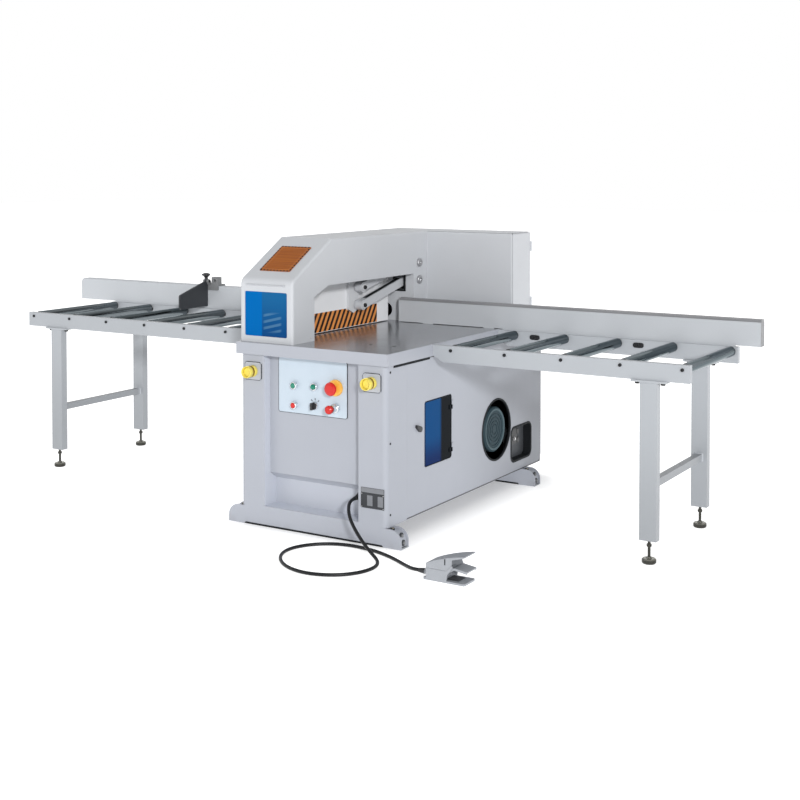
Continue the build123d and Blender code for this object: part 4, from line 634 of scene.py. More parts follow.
# a loft joins rings[copy, ring, around] with quads and closes both ends, or joins them round in a loop
def loft(name, rings, finish, body="machine", slotName=None, loop=False, sharp=35):
    rings = np.asarray(rings, float)
    rings = rings[None] if rings.ndim == 3 else rings
    copies, deep, around = rings.shape[:3]
    index = np.arange(copies * deep * around).reshape(copies, deep, around)
    ahead = np.roll(index, -1, 2)
    nextRing = np.roll(index, -1, 1)
    nextAhead = np.roll(ahead, -1, 1)
    quads = np.stack((index, ahead, nextAhead, nextRing), -1)
    faces = (quads if loop else quads[:, :-1]).reshape(-1, 4).tolist()
    if not loop:
        faces += index[:, 0, ::-1].tolist() + index[:, -1].tolist()
    mesh = bpy.data.meshes.new(name)
    mesh.from_pydata(rings.reshape(-1, 3).tolist(), [], faces)
    shell = bmesh.new()
    shell.from_mesh(mesh)
    bmesh.ops.recalc_face_normals(shell, faces=shell.faces)
    shell.to_mesh(mesh)
    shell.free()
    mesh.polygons.foreach_set("use_smooth", np.ones(len(mesh.polygons), bool))
    mesh.set_sharp_from_angle(angle=math.radians(sharp))
    mesh.materials.append(finishes[finish])
    piece = bpy.data.objects.new(name, mesh)
    scene.collection.objects.link(piece)
    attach(piece, body)
    return piece


# for each axis: the way along it, then the two ways across it
directions = dict(x=((1, 0, 0), (0, 1, 0), (0, 0, 1)), y=((0, 1, 0), (0, 0, 1), (1, 0, 0)),
                  z=((0, 0, 1), (1, 0, 0), (0, 1, 0)))


def spread(places, axis, way, run, side, up):
    # points at each place: run along the axis, side and up across it
    along, first, second = (np.array(v, float) for v in directions[axis])
    starts = np.atleast_2d(np.array(places, float))[:, None, None, :]
    points = starts + way * run * along + side * first + up * second
    return at(points[..., 0], points[..., 1], points[..., 2])


def turned(places, profile, axis="y", way=1, around=28):
    # a profile of (radius, distance along the axis) turned about the axis through each place
    radius, run = np.array(profile, float).T[:, None, :, None, None]
    angle = (np.arange(around) * 2 * math.pi / around)[None, None, :, None]
    return spread(places, axis, way, run, radius * np.cos(angle), radius * np.sin(angle))


def framed(places, size, corner, profile, axis="y", way=-1, steps=6):
    # a rounded rectangle drawn at each step of a profile of (inset, distance along the axis)
    inset, run = np.array(profile, float).T[:, None, :, None, None]
    quarter = np.repeat(np.arange(4), steps)
    angle = ((quarter + np.tile(np.linspace(0, 1, steps), 4)) * math.pi / 2)[None, None, :, None]
    signSide = np.array((1, -1, -1, 1))[quarter][None, None, :, None]
    signUp = np.array((1, 1, -1, -1))[quarter][None, None, :, None]
    radius = np.maximum(corner - inset, 0.05)
    side = signSide * (size[0] / 2 - inset - radius) + radius * np.cos(angle)
    up = signUp * (size[1] / 2 - inset - radius) + radius * np.sin(angle)
    return spread(places, axis, way, run, side, up)


def drawn(places, section, length, axis="x", way=1):
    # a section of (side, up) points carried straight along the axis
    side, up = np.array(section, float).T[:, None, None, :, None]
    run = np.array((0.0, length))[None, :, None, None]
    return spread(places, axis, way, run, side, up)


# cord: one smooth line from the gland down to the floor, once round and over itself to the pedal
cordSet = dict(radius=7.5, lie=8.0, gland=(206, 68, 184), pedal=(740, -248, 20), order=3, steps=10, sides=5)


def addCord(c):
    lie = c["lie"]
    route = [
        c["gland"], (206, 22, 184), (222, -28, 178), (250, -74, 161), (279, -107, 140), (313, -132, 115),
        (352, -153, 87), (394, -169, 57), (438, -182, 29), (483, -204, 12), (512, -250, lie),
        (519, -312, lie), (500, -380, lie), (455, -438, lie), (390, -477, lie), (310, -493, lie),
        (228, -476, lie), (156, -434, lie), (98, -372, lie), (63, -300, lie), (62, -222, lie),
        (102, -146, lie), (172, -90, lie), (255, -68, lie), (342, -74, lie), (430, -96, lie),
        (520, -136, lie), (606, -188, lie), (664, -232, 15), (702, -248, 20), c["pedal"]]
    curve = bpy.data.curves.new("footCord", "CURVE")
    curve.dimensions = "3D"
    curve.bevel_depth = c["radius"] / 1000
    curve.bevel_resolution = c["sides"]
    curve.resolution_u = c["steps"]
    curve.use_fill_caps = True
    line = curve.splines.new("NURBS")
    line.points.add(len(route) - 1)
    places = np.ones((len(route), 4))
    places[:, :3] = at(*np.array(route, float).T)
    line.points.foreach_set("co", places.ravel())
    line.order_u = c["order"]
    line.use_endpoint_u = True
    line.use_smooth = True
    curve.materials.append(finishes["cord"])
    piece = bpy.data.objects.new("footCord", curve)
    scene.collection.objects.link(piece)
    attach(piece, "machine")
    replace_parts(piece, "pedal_cord")
    return piece


# tapered boots with ribs where the cord leaves the cabinet and enters the pedal
bootSet = dict(length=30.0, wide=12.0, narrow=8.6, ribs=5, depth=0.9, steps=41, share=0.3)


def bootProfile(b):
    # a cone whose radius falls along its length, cut by a row of shallow grooves
    run = np.linspace(0, b["length"], b["steps"])
    share = run / b["length"]
    radius = b["wide"] + (b["narrow"] - b["wide"]) * share
    radius = radius - b["depth"] * (np.sin(share * b["ribs"] * 2 * math.pi) > b["share"])
    return list(zip(radius, run))


footCord = addCord(cordSet)
glandBoot = loft("glandBoot", turned(cordSet["gland"], bootProfile(bootSet), "y", -1), "dark")
pedalBoot = loft("pedalBoot", turned(cordSet["pedal"], bootProfile(bootSet), "x", -1), "dark")
tuple(at(*cordSet["gland"]))
print("cord laid")

# legs: hex bolts with washers under the flanges, weld seams at the flanges and at the braces' ends
legSet = dict(lines=(-1981, 1455), rows=(391, 1043), bolt=57.0, under=764.0, leg=(76.0, 40.0), brace=32.0,
              corner=1.5, braceMiddle=328.0, braceEnds=(411, 1023))


def addLegDetails(s):
    legs = [(x, y, s["under"]) for x in s["lines"] for y in s["rows"]]
    bolts = [(x + shift, y, z) for x, y, z in legs for shift in (-s["bolt"], s["bolt"])]
    washer = ((13, 0), (13.5, 0.6), (13.5, 2), (13, 2.4))
    loft("flangeWashers", turned(bolts, washer, "z", -1), "zinc")
    head = ((10.5, 2.4), (10.5, 9), (9.2, 10.5))
    loft("flangeBolts", turned(bolts, head, "z", -1, 6), "black", sharp=20)
    bead = ((-4.5, 0.0), (-3.4, 2.4), (-1.2, 4.2), (0.5, 4.6), (0.5, 0.0))
    loft("flangeWelds", framed(legs, s["leg"], s["corner"], bead, "z", -1), "weld", loop=True)
    for name, y, way in zip(("front", "rear"), s["braceEnds"], (1, -1)):
        ends = [(x, y, s["braceMiddle"]) for x in s["lines"]]
        seam = framed(ends, (s["brace"], s["brace"]), s["corner"], bead, "y", way)
        loft(f"{name}BraceWelds", seam, "weld", loop=True)


addLegDetails(legSet)
print("leg bolts and welds made")

# screws: round heads with a sunk socket, places by the face they sit on
screwSet = dict(
    head=5.2, tall=2.4, socket=2.4, sheetSize=1.3, seatSize=1.6, side=400, back=1560, flange=31,
    flangeRows=(765, 452, 138), columns=(-372, -124, 124, 372), depths=(200, 640, 1090, 1530),
    rows=(116, 772), between=(335, 553), hood=((-117, 161, 868), (-117, 1128, 868)),
    table=((172, 230, 850), (300, 226, 850)), seats=(-1900, -1400, -900, 700, 1100, 1500), seatHeight=835,
    railFront=376, railRear=1058, axleHeight=827)
rollerLines = [float(sum(corner[0] for corner in span(name)) / 2) for name in wears["roller"]]


def screwProfile(s, size=1.0):
    # low dome with a socket in its middle
    share = np.array(((1.0, 0.0), (0.98, 0.45), (0.86, 0.8), (0.62, 1.0)))
    dome = [(s["head"] * size * r, s["tall"] * size * h) for r, h in share]
    socket, tall = s["socket"] * size, s["tall"] * size
    return dome + [(socket, tall), (socket * 0.9, tall * 0.35)]


def addScrews(s):
    side, back, sheet = s["side"], s["back"], s["sheetSize"]
    rightFlange, leftFlange = ([(x, s["flange"], z) for z in s["flangeRows"]] for x in (side, -side))
    rear = [(x, back, z) for x in s["columns"] for z in s["rows"]]
    rear += [(x, back, z) for x in (s["columns"][0], s["columns"][-1]) for z in s["between"]]
    left = [(-side, y, z) for y in s["depths"] for z in s["rows"]]
    loft("flangeScrewsRight", turned(rightFlange, screwProfile(s), "x", 1), "black")
    loft("flangeScrewsLeft", turned(leftFlange, screwProfile(s), "x", -1), "black")
    loft("rearScrews", turned(rear, screwProfile(s, sheet), "y", 1), "bright")
    loft("leftScrews", turned(left, screwProfile(s, sheet), "x", -1), "bright")
    loft("hoodScrews", turned(s["hood"], screwProfile(s), "x", 1), "bright")
    sunk = ((9.5, 0), (9.3, 0.35), (6.4, 0.5), (5.8, 0.1))
    loft("tableScrews", turned(s["table"], sunk, "z", 1), "black")
    seats = [(x, s["railRear"], s["seatHeight"]) for x in s["seats"]]
    loft("fenceScrews", turned(seats, screwProfile(s, s["seatSize"]), "y", 1), "black")
    button = ((7.4, 0), (7.4, 4.6), (6.6, 6.2), (4.6, 7.2), (3.2, 7.4), (2.9, 4.2))
    for name, y, way in (("axleHeads", s["railFront"], -1), ("axleTails", s["railRear"], 1)):
        places = [(x, y, s["axleHeight"]) for x in rollerLines]
        loft(name, turned(places, button, "y", way, 20), "black")


addScrews(screwSet)
print("screws made", len(rollerLines), "axles")

# black clamp bolts in oval washers on the inner face of the rear rails
clampBoltSet = dict(lines=(-1890, -1345, -800, 618, 1156), face=1028.0, height=822.0, washer=(24, 54))


def addClampBolts(s):
    places = [(x, s["face"], s["height"]) for x in s["lines"]]
    washer = ((0, 0), (0, 3), (1, 4))
    loft("clampWashers", framed(places, s["washer"], s["washer"][0] / 2, washer, "y", -1), "black")
    head = ((9.5, 4), (9.5, 11), (8.3, 12.5), (4.5, 12.5), (4.2, 8))
    loft("clampBolts", turned(places, head, "y", -1, 24), "black")


addClampBolts(clampBoltSet)

# jack screws between the plates of the foot bars, two bolts in each rounded end and a sole plate under it
jackSet = dict(x=412.0, rows=(32.5, 1368.5), low=66.0, ends=((453.0, 55.0), (462.0, 25.0)),
               sole=427.0, soleSize=(93.0, 53.0), soleCorner=2)


def addJackScrews(s):
    places = [(side * s["x"], y, s["low"]) for side in (1, -1) for y in s["rows"]]
    nut = ((10, 0), (10, 14), (9, 15))
    loft("jackNuts", turned(places, nut, "z", 1, 6), "black", sharp=20)
    stud = ((6, 12), (6, 17), (5, 18))
    loft("jackStuds", turned(places, stud, "z", 1, 20), "zinc")
    washer = ((14, 0), (14, 5), (13, 6))
    bolt = ((8, 6), (8, 10), (7, 11))
    for side, name in ((1, "right"), (-1, "left")):
        ends = [(side * x, y, z) for x, z in s["ends"] for y in s["rows"]]
        loft(f"{name}EndWashers", turned(ends, washer, "x", side), "charcoal")
        loft(f"{name}EndBolts", turned(ends, bolt, "x", side, 6), "cast", sharp=20)
    soles = [(side * s["sole"], y, 0) for side in (1, -1) for y in s["rows"]]
    plate = ((0, 0), (0, 4.4), (0.6, 5))
    loft("footSoles", framed(soles, s["soleSize"], s["soleCorner"], plate, "z", 1), "rail")


addJackScrews(jackSet)

# dark rubber strips under the foot bars paint the shade in the arch between their pads
archShadeSet = dict(half=383.0, rows=(1.0, 1337.0), section=((0, 0), (4.5, 0), (4.5, 8.6), (0, 8.6)))


def addArchShade(s):
    places = [(-s["half"], y, 0) for y in s["rows"]]
    loft("footArchShade", drawn(places, s["section"], 2 * s["half"]), "rubber")


addArchShade(archShadeSet)
print("foot bars dressed")

# dark strips that paint the shade under the table's overhang, from the front corners back to the rails
underTableShadeSet = dict(x=400.0, front=58.0, high=796.0, long=316.0,
                section=((-15, -1.6), (-15, 1.6), (0, 1.6), (0, -1.6)))


def addUnderTableShade(s):
    places = [(side * s["x"], s["front"], s["high"]) for side in (1, -1)]
    loft("underTableShade", drawn(places, s["section"], s["long"], "y"), "rubber")


addUnderTableShade(underTableShadeSet)

# bare data plate on the front, lower right: a dark field, a pale strip, two pale cells and four rivets
plateSet = dict(left=267.0, right=388.0, low=163.0, high=254.0, face=-1.2, strip=23.0,
                margin=(2, 3), cells=((300, 328), (355, 383)), cellSize=(46, 28), cellHeight=197.5,
                rivet=(5, 62), corner=3, fieldCorner=2)


def addDataPlate(s):
    middle = ((s["left"] + s["right"]) / 2, 0, (s["low"] + s["high"]) / 2)
    size = (s["high"] - s["low"], s["right"] - s["left"])
    plate = ((0, 0), (0, 0.9), (0.5, 1.2))
    loft("dataPlate", framed(middle, size, s["corner"], plate), "charcoal", slotName="black_plastic")
    field = ((0, 0), (0, 0.3), (0.2, 0.4))
    strip = (middle[0], s["face"], s["high"] - s["strip"] / 2)
    stripSize = (s["strip"] - s["margin"][0], size[1] - s["margin"][1])
    loft("dataStrip", framed(strip, stripSize, s["fieldCorner"], field), "cell")
    cells = [((a + b) / 2, s["face"], s["cellHeight"]) for a, b in s["cells"]]
    loft("dataCells", framed(cells, s["cellSize"], s["fieldCorner"], field), "cell")
    edge, high = s["rivet"]
    rivets = [(x, s["face"], s["low"] + rise) for x in (s["left"] + edge, s["right"] - edge)
              for rise in (edge, high)]
    rivet = ((2.4, 0), (2.2, 0.7), (1.4, 1.2))
    loft("dataRivets", turned(rivets, rivet, "y", -1, 14), "bright")


addDataPlate(plateSet)
print("data plate made")

# two-hand stations: square plates on dark gaskets with corner screws, notched barrels and dished caps
palmSet = dict(x=326.0, z=718.0, seal=(85.0, 95.0), sealCorner=13, plate=(82.0, 92.0), plateCorner=6,
               face=-4.0, back=-16.0, long=56.0, notch=14.0, notchEdge=0.82, notchRamp=9, screw=(37, 32),
               screwSize=0.55, around=72)


def addPalmDetails(s):
    middles = [(side * s["x"], s["face"], s["z"]) for side in (-1, 1)]
    seal = ((0.0, -4.0), (0.0, -0.2), (0.6, 0.4), (1.8, 0.4), (2.4, -0.2), (2.4, -4.0))
    loft("palmSeals", framed(middles, s["seal"], s["sealCorner"], seal, steps=8), "rubber", loop=True)
    wide, high = s["screw"]
    corners = [(x + dx, y, z + dz) for x, y, z in middles for dx in (-wide, wide) for dz in (-high, high)]
    loft("palmScrews", turned(corners, screwProfile(screwSet, s["screwSize"]), "y", -1, 16), "bright")
    plates = [(x, 0, z) for x, y, z in middles]
    plate = ((0, 0), (0, 3.4), (0.6, 4))
    loft("palmPlates", framed(plates, s["plate"], s["plateCorner"], plate), "palm")
    # barrels turned about their axes, with the front edge cut back in a thumb notch at the top
    wall = ((20, 0), (26.4, 0), (27, 1), (27, 20), (26.2, 21.4), (24.2, 22), (24.2, 31), (26.2, 31.6),
            (27, 33), (27, 53), (26.2, 55.2), (24.8, 56), (23.4, 55.6), (23, 54.4), (23, 2), (20, 2))
    radius, run = np.array(wall, float).T[:, None, :, None, None]
    angle = (np.arange(s["around"]) * 2 * math.pi / s["around"])[None, None, :, None]
    depth = s["notch"] * np.clip((np.cos(angle) - s["notchEdge"]) * s["notchRamp"], 0, 1)
    run = np.minimum(run, s["long"] - depth)
    barrels = spread(middles, "y", -1, run, radius * np.cos(angle), radius * np.sin(angle))
    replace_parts(loft("palmBarrels", barrels, "palm", loop=True), "palm_shrouds")
    # dished caps, a little slacker in the barrels than the turned buttons they stand for
    cap = ((22.0, 0), (22.4, 0.8), (22.4, 25.5), (21.8, 28.4), (20, 30.6), (17, 31.7), (13, 31.4), (6, 30.2),
           (1, 29.8))
    for (x, y, z), body in zip(middles, ("left_palm", "right_palm")):
        piece = loft(f"{body}Cap", turned((x, s["back"], z), cap, "y", -1, 48), "yellow", body)
        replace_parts(piece, f"{body}_button")


addPalmDetails(palmSet)

# control plate: dark bead round the edge, chrome bezels and collar, amber base, marks round the selector
controlSet = dict(face=41.0, front=28.0, left=-120.0, mid=-7.0, right=107.0, high=663.0, low=572.0, lamp=4,
                  lift=8, corner=10, ticks=(50, 90, 130), tickRadius=29, tickHalf=(1.6, 5), tickDeep=0.5)


def addControlDetails(s):
    low, high = span("control_panel")
    middle = ((low[0] + high[0]) / 2, s["face"], (low[2] + high[2]) / 2)
    bead = ((-0.8, -3.5), (-0.8, 0.2), (-0.3, 0.7), (0.5, 0.7), (1.0, 0.3), (1.0, -0.5))
    size = (high[2] - low[2], high[0] - low[0])
    loft("panelBead", framed(middle, size, s["corner"], bead), "rubber", loop=True)
    front = s["front"]
    bezels = [(s["left"], front, s["high"]), (s["left"], front, s["low"]),
              (s["mid"], front, s["high"] + s["lamp"])]
    bezel = ((12.6, -6), (12.6, 3.6), (13.4, 5.0), (15.2, 5.2), (17.4, 3.6), (18.2, 1.0), (18.2, -6))
    selector = (s["mid"], front, s["low"] + s["lift"])
    ring = ((17.0, 0.0), (18.6, -2.0), (18.6, -12.0), (16.6, -12.5), (16.3, -0.4))
    stop = (s["right"], front, s["high"] + s["lift"])
    base = ((13.0, -12), (13.0, 2), (31.0, 2), (35.6, 0.4), (37.4, -3), (37.6, -12))
    mushroom = (s["right"], front, s["low"] + s["lift"])
    collar = ((13.0, -8), (13.0, 27), (14.2, 29), (16.6, 29), (17.4, 27), (17.4, 6), (21.5, 3), (21.5, -10))
    rounds = (("buttonBezels", bezels, bezel, 40, "chrome"), ("selectorRing", selector, ring, 40, "chrome"),
              ("emergencyBase", stop, base, 48, "amber"), ("mushroomCollar", mushroom, collar, 40, "chrome"))
    for name, places, profile, around, finish in rounds:
        loft(name, turned(places, profile, "y", -1, around), finish, loop=True)
    wide, long = s["tickHalf"]
    for number, a in enumerate(np.radians(s["ticks"]), 1):
        # a thin flat bar that points away from the selector
        c, n = math.cos(a), math.sin(a)
        place = (selector[0] + s["tickRadius"] * c, s["face"], selector[2] + s["tickRadius"] * n)
        bar = ((-wide, -long), (wide, -long), (wide, long), (-wide, long))
        section = [(v * n - u * c, u * n + v * c) for u, v in bar]
        loft(f"selectorTick{number}", drawn(place, section, s["tickDeep"], "y", -1), "rubber")


addControlDetails(controlSet)
print("controls dressed")

# rubber edging round the motor and access openings, and a tray with a valve behind the access opening
openingSet = dict(face=400, motorRadius=152.0, access=(1322, 230), size=(228.0, 173.0), corner=32,
                  sunk=42.6, valve=(1282, 262), valveSize=(72, 84), valveCorner=12, valveDeep=22,
                  knobs=((1322, 284), (1326, 238)), plug=(1276, 252))


def addOpeningTrim(s):
    r = s["motorRadius"]
    edge = ((r - 3.5, -6), (r - 3.5, 1.5), (r - 2.0, 3.0), (r + 4.0, 3.0), (r + 5.5, 1.6), (r + 5.5, 0))
    motor = (s["face"], *motorSet["axis"])
    loft("motorEdging", turned(motor, edge, "x", 1, 96), "rubber", loop=True)
    access = (s["face"], *s["access"])
    lip = ((3.5, -6), (3.5, 1.5), (2.0, 3.0), (-6.0, 3.0), (-7.5, 1.6), (-7.5, 0))
    wall = ((0.6, -3), (0.6, -43), (1.8, -43), (1.8, -3))
    back = ((0.6, -45), (0.6, -43), (1.6, -42.6))
    rims = (("accessEdging", lip, "rubber", True), ("accessWall", wall, "rubber", True),
            ("accessBack", back, "backing", False))
    for name, profile, finish, loop in rims:
        rim = framed(access, s["size"], s["corner"], profile, "x", 1, 10)
        loft(name, rim, finish, loop=loop)
    x = s["face"] - s["sunk"]
    block = ((4, 0), (0, 1), (0, 18), (2, 21), (8, s["valveDeep"]))
    valve = framed((x, *s["valve"]), s["valveSize"], s["valveCorner"], block, "x", 1, 8)
    loft("valveBody", valve, "dark")
    knobs = [(x, y, z) for y, z in s["knobs"]]
    knob = ((15, 0), (16, 2), (16, 21), (13, 24), (5, 25))
    loft("valveKnobs", turned(knobs, knob, "x", 1, 30), "dark")
    plug = ((11, 0), (11, 6), (8, 7), (8, 11))
    loft("valvePlug", turned((x + s["valveDeep"], *s["plug"]), plug, "x", 1, 6), "bright", sharp=20)


addOpeningTrim(openingSet)

# seal round the side window, on the pane
sealSet = dict(middle=(401, 453, 440), size=(248.0, 299.0), corner=12)


def addWindowSeal(s):
    bead = ((0.2, -4.5), (0.2, 0.6), (0.8, 1.3), (2.6, 1.3), (3.2, 0.6), (3.2, -0.3))
    seal = framed(s["middle"], s["size"], s["corner"], bead, "x", 1, 8)
    loft("windowSeal", seal, "rubber", "side_window", loop=True)


addWindowSeal(sealSet)
print("openings trimmed")

# hold-down: black bolt ends on the front pins, grey caps on the hood, dark strips painting the shade on the
# arms' tops
holdSet = dict(front=(718.0, 966.0, 1056.0), frontFace=-177.5, rear=(1150.0, 1067.0, 1157.0), rearFace=-109,
               drop=101.0, reach=432.0, middle=-204.0, armHalf=22, frontGap=40, rearGap=70, topShadeHalf=11.0)


def addHoldDownDetails(s):
    frontY, lowZ, highZ = s["front"]
    pins = [(s["frontFace"], frontY, z) for z in (lowZ, highZ)]
    end = ((10.5, 0), (10.5, 7), (9, 8.5), (5, 8.5), (4.6, 4))
    loft("pinBolts", turned(pins, end, "x", 1, 24), "black", "hold_down")
    rearY, lowRear, highRear = s["rear"]
    cap = ((21.5, -6.5), (21.5, 2.4), (20, 4), (9.5, 4.4), (9, 1.2))
    # a thin dark bar paints the shade on each arm's sloping top: its section is across x, its ends follow
    # the slope
    lean = math.atan2(s["drop"], s["reach"])
    ends = np.array((s["reach"] - s["frontGap"], s["rearGap"]))
    across = s["topShadeHalf"] * np.array((-1, 1, 1, -1))
    rise = np.array((-1.0, -1.0, 0.8, 0.8))
    for name, z in (("lower", lowRear), ("upper", highRear)):
        pivot = (s["rearFace"], rearY, z)
        loft(f"{name}PivotCap", turned(pivot, cap, "x", 1, 40), "bright", f"{name}_arm")
        top = z - ends * math.tan(lean) + s["armHalf"] / math.cos(lean)
        rings = at(s["middle"] + across, (rearY - ends)[:, None], top[:, None] + rise)
        loft(f"{name}ArmTopShade", rings, "rubber", f"{name}_arm")


addHoldDownDetails(holdSet)

# hood: dashed tape round the slope's sheet, a filter mat behind its slots, a dark frame round the arm slot
# that paints the slot's shade
tapeSet = dict(size=(174.0, 206.0), lean=30.15, pitch=19.0, dash=10.5, wide=7.0, start=(4, 9),
               tape=(0.5, 2.0), mat=(-8.0, -5.5), slot=(-204, 1096, 1106), slotSize=(202.0, 78.0),
               slotCorner=4)


def addHoodDetails(s):
    low, high = span("vent_grille")
    middle = (low + high) / 2
    lean = math.radians(s["lean"])
    long, wide = s["dash"] / 2, s["wide"] / 2
    halfAcross, halfUp = (side / 2 - wide for side in s["size"])
    across = np.arange(-halfAcross + s["start"][0], halfAcross, s["pitch"])
    up = np.arange(-halfUp + s["start"][1], halfUp, s["pitch"])
    dashes = [(a, b, long, wide) for a in across for b in (-halfUp, halfUp)]
    dashes += [(a, b, wide, long) for a in (-halfAcross, halfAcross) for b in up]
    corner = np.array(((-1, -1), (1, -1), (1, 1), (-1, 1)), float)

    def slabs(boxes, reach):
        # flat boxes in the sheet's own plane: along x, up the slope and out of it
        boxes = np.array(boxes)[:, :, None, None]
        out = np.array(reach)[None, :, None]
        x = boxes[:, 0] + boxes[:, 2] * corner[:, 0]
        rise = boxes[:, 1] + boxes[:, 3] * corner[:, 1]
        return at(middle[0] + x, middle[1] + rise * math.cos(lean) - out * math.sin(lean),
                  middle[2] + rise * math.sin(lean) + out * math.cos(lean))

    loft("slopeTape", slabs(dashes, s["tape"]), "rubber")
    loft("slopeFilter", slabs([(0, 0, halfAcross, halfUp)], s["mat"]), "felt")
    # painted shade: a dark frame widens the arm slot's shade
    seal = ((0, 0), (0, 1.6), (0.8, 2.4), (10, 2.4), (11.5, 1.4), (11.5, -2))
    loft("armSlotShade", framed(s["slot"], s["slotSize"], s["slotCorner"], seal, "y", -1), "rubber", loop=True)


addHoodDetails(tapeSet)
print("hold-down dressed")

# length stop: pin heads on both lugs of the hinge
stopSet = dict(x=-1457.0, half=19.5, hinge=(1028.5, 1005.5))


def addStopDetails(s):
    head = ((7.5, 0), (7.5, 3), (6.4, 4.4), (3.4, 4.4), (3.1, 1.6))
    for name, way in (("Right", 1), ("Left", -1)):
        place = (s["x"] + way * s["half"], *s["hinge"])
        loft(f"stopPin{name}", turned(place, head, "x", way, 24), "black", "stop_carriage")


addStopDetails(stopSet)

# pedal: a dark inlay on the cover's front that paints the shade of a slot, a ribbed mat on the base
pedalSet = dict(slot=(854.0, -288.0, 84.0), slotSize=(25, 5), slotCorner=2.4, mat=(878.0, -236.0, 8),
                matSize=(56, 62), matCorner=6, ribs=5, ribReach=21, ribLong=54, ribBase=10)


def addPedalDetails(s):
    inlay = ((0, 0), (0, 0.3), (0.3, 0.5))
    loft("pedalSlotShade", framed(s["slot"], s["slotSize"], s["slotCorner"], inlay, "y", -1), "rubber")
    pad = ((0, 0), (0, 1.4), (0.8, 2))
    loft("pedalMat", framed(s["mat"], s["matSize"], s["matCorner"], pad, "z", 1), "mat")
    x, y = s["mat"][:2]
    lines = np.linspace(x - s["ribReach"], x + s["ribReach"], s["ribs"])
    ribs = [(line, y - s["ribLong"] / 2, s["ribBase"]) for line in lines]
    section = ((0, -2.2), (0, 2.2), (1.4, 1.4), (1.4, -1.4))
    loft("matRibs", drawn(ribs, section, s["ribLong"], "y", 1), "mat")


addPedalDetails(pedalSet)
print("pedal dressed")

# rear panel: pressed louvres in two columns
louvreSet = dict(columns=(-180.0, 180.0), back=1560, rows=7, first=480.0, pitch=34.0, long=210.0, proud=9,
                 tall=18, steps=9, lining=((7.4, 0.0), (0.0, 14.0)))


def addLouvres(s):
    # each louvre is a curved hood: a quarter wave in section, carried along x
    places = [(x - s["long"] / 2, s["back"], s["first"] + k * s["pitch"])
              for x in s["columns"] for k in range(s["rows"])]
    turn = np.linspace(0, 1, s["steps"]) * math.pi / 2
    section = np.stack((s["proud"] * np.sin(turn), s["tall"] * np.cos(turn)), -1)
    section = np.concatenate((section, s["lining"]))
    loft("rearLouvres", drawn(places, section, s["long"], "x", 1), "front")


addLouvres(louvreSet)
print("rear dressed")

# switchgear behind the rear door: plate, rails, wiring ducts, contactors, breakers, terminals and valves
# a row on a rail is given by its first place along the rail, its pitch and its count
gearSet = dict(left=-62.0, long=400.0, back=1241.0, plate=(1236, 1085), plateSize=(420, 436),
               rails=(1196.0, 1050.0), railDeep=7, ducts=(1262.0, 1122.0, 982.0), ductDeep=46,
               slotPitch=16.0, slotMargin=(12, 6), slotRise=9, contactors=(34, 58, 3),
               breakers=(206, 19, 9), toggle=(58, 3), terminals=(14, 11, 16), screw=(30, 19), valves=300,
               coils=(240, 40, 4))


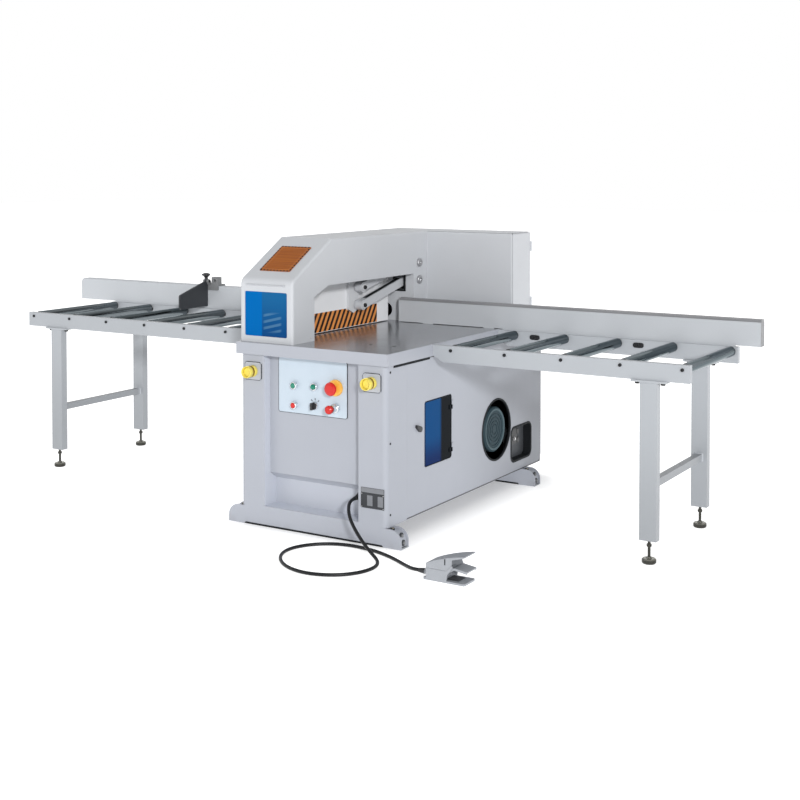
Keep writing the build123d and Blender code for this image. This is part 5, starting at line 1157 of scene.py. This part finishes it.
def addSwitchgear(s):
    left, long, back = s["left"], s["long"], s["back"]
    face = back + s["railDeep"]
    high, low = s["rails"]

    def row(key, y, z):
        first, pitch, count = s[key]
        return [(left + first + pitch * k, y, z) for k in range(count)]

    def block(name, places, size, corner, profile, finish, steps=4, **more):
        loft(name, framed(places, size, corner, profile, "y", 1, steps), finish, **more)

    middle = (left + long / 2, *s["plate"])
    block("gearPlate", middle, s["plateSize"], 8, ((0, 0), (0, 4), (1, 5)), "zinc", 6)
    deep = s["railDeep"]
    rail = ((0, -17.5), (deep, -17.5), (deep, -12), (2, -12), (2, 12), (deep, 12), (deep, 17.5), (0, 17.5))
    loft("gearRails", drawn([(left, back, z) for z in s["rails"]], rail, long), "bright")
    deep = s["ductDeep"]
    lid = ((0, -20), (deep - 2, -20), (deep, -17), (deep, 17), (deep - 2, 20), (0, 20))
    loft("gearDucts", drawn([(left, back, z) for z in s["ducts"]], lid, long), "duct")
    # dark inlays on the duct lids paint the shade of their slots
    first, last = s["slotMargin"]
    columns = np.arange(left + first, left + long - last, s["slotPitch"])
    rises = (-s["slotRise"], s["slotRise"])
    slits = [(x, back + deep, z + rise) for x in columns for z in s["ducts"] for rise in rises]
    block("ductSlotShades", slits, (13, 6), 2, ((0, 0), (0, 0.4), (0.3, 0.6)), "rubber")
    box = ((0, 0), (0, 56), (2, 58), (9, 58), (9, 72), (11, 74))
    block("contactors", row("contactors", face, high), (84, 48), 4, box, "dark")
    heads = row("contactors", face + box[-1][1], high)
    block("contactorHeads", heads, (30, 20), 3, ((0, 0), (0, 2), (1.5, 3)), "cell", slotName="cast_grey")
    step = ((0, 0), (0, 44), (14, 46), (20, 60), (22, 61))
    block("breakers", row("breakers", face, high), (86, 17.6), 2, step, "cell", slotName="cast_grey")
    out, rise = s["toggle"]
    toggles = row("breakers", face + out, high + rise)
    block("breakerToggles", toggles, (12, 9), 2, ((0, 0), (0, 8), (1.5, 10)), "dark")
    terminals = row("terminals", face, low)
    block("terminals", terminals, (54, 10.2), 1, ((0, 0), (0, 26), (8, 38), (12, 40)), "duct", 3)
    out, rise = s["screw"]
    screws = [(x, face + out, low + up) for x, y, z in terminals for up in (-rise, rise)]
    screw = ((3.4, 0), (3.4, 4), (2.8, 5), (1.0, 5))
    loft("terminalScrews", turned(screws, screw, "y", 1, 12), "bright")
    base = ((0, 0), (0, 22), (2, 24))
    block("valveBase", (left + s["valves"], face, low), (62, 170), 5, base, "aluminium", 5)
    coil = ((0, 0), (0, 34), (3, 38), (8, 39))
    coils = row("coils", face + base[-1][1], low)
    block("valveCoils", coils, (52, 30), 5, coil, "dark", 5)
    nuts = [(x, y + coil[-1][1], z) for x, y, z in coils]
    loft("coilNuts", turned(nuts, ((9, 0), (9, 5), (7.6, 6.5)), "y", 1, 6), "zinc", sharp=20)


addSwitchgear(gearSet)
print("switchgear made")

# floor: white and faintly glowing, with a painted shadow under the cabinet where it glows less
floorSet = dict(glow=0.66, under=0.2, half=(400.0, 800.0), middle=(0.0, 780.0), soft=(240.0, 110.0),
                fade=0.4, reach=40.0, drop=0.0005)


def addFloor(s):
    mesh = bpy.data.meshes.new("studioFloor")
    corners = [(s["reach"] * x, s["reach"] * y, 0) for x, y in ((-1, -1), (1, -1), (1, 1), (-1, 1))]
    mesh.from_pydata(corners, [], [(0, 1, 2, 3)])
    f = Finish("studioFloor", Roughness=0.9, Specular_IOR_Level=0.0, Emission_Strength=s["glow"])
    f.shader.inputs["Base Color"].default_value = (0.9, 0.9, 0.9, 1)
    # painted shadow: the glow drops to the under share beneath the cabinet
    sides = zip((f.x, f.y), s["middle"], s["half"], s["soft"])
    across, along = (1 - f.ease(abs(place - middle), half - soft * s["fade"], half + soft)
                     for place, middle, half, soft in sides)
    clear = 1 - across * along
    f.feed(Emission_Color=f.blend(clear, tint((1, 1, 1), s["under"]), (1, 1, 1, 1)))
    mesh.materials.append(f.material)
    floor = bpy.data.objects.new("studioFloor", mesh)
    floor.location.z = -s["drop"]
    scene.collection.objects.link(floor)


addFloor(floorSet)
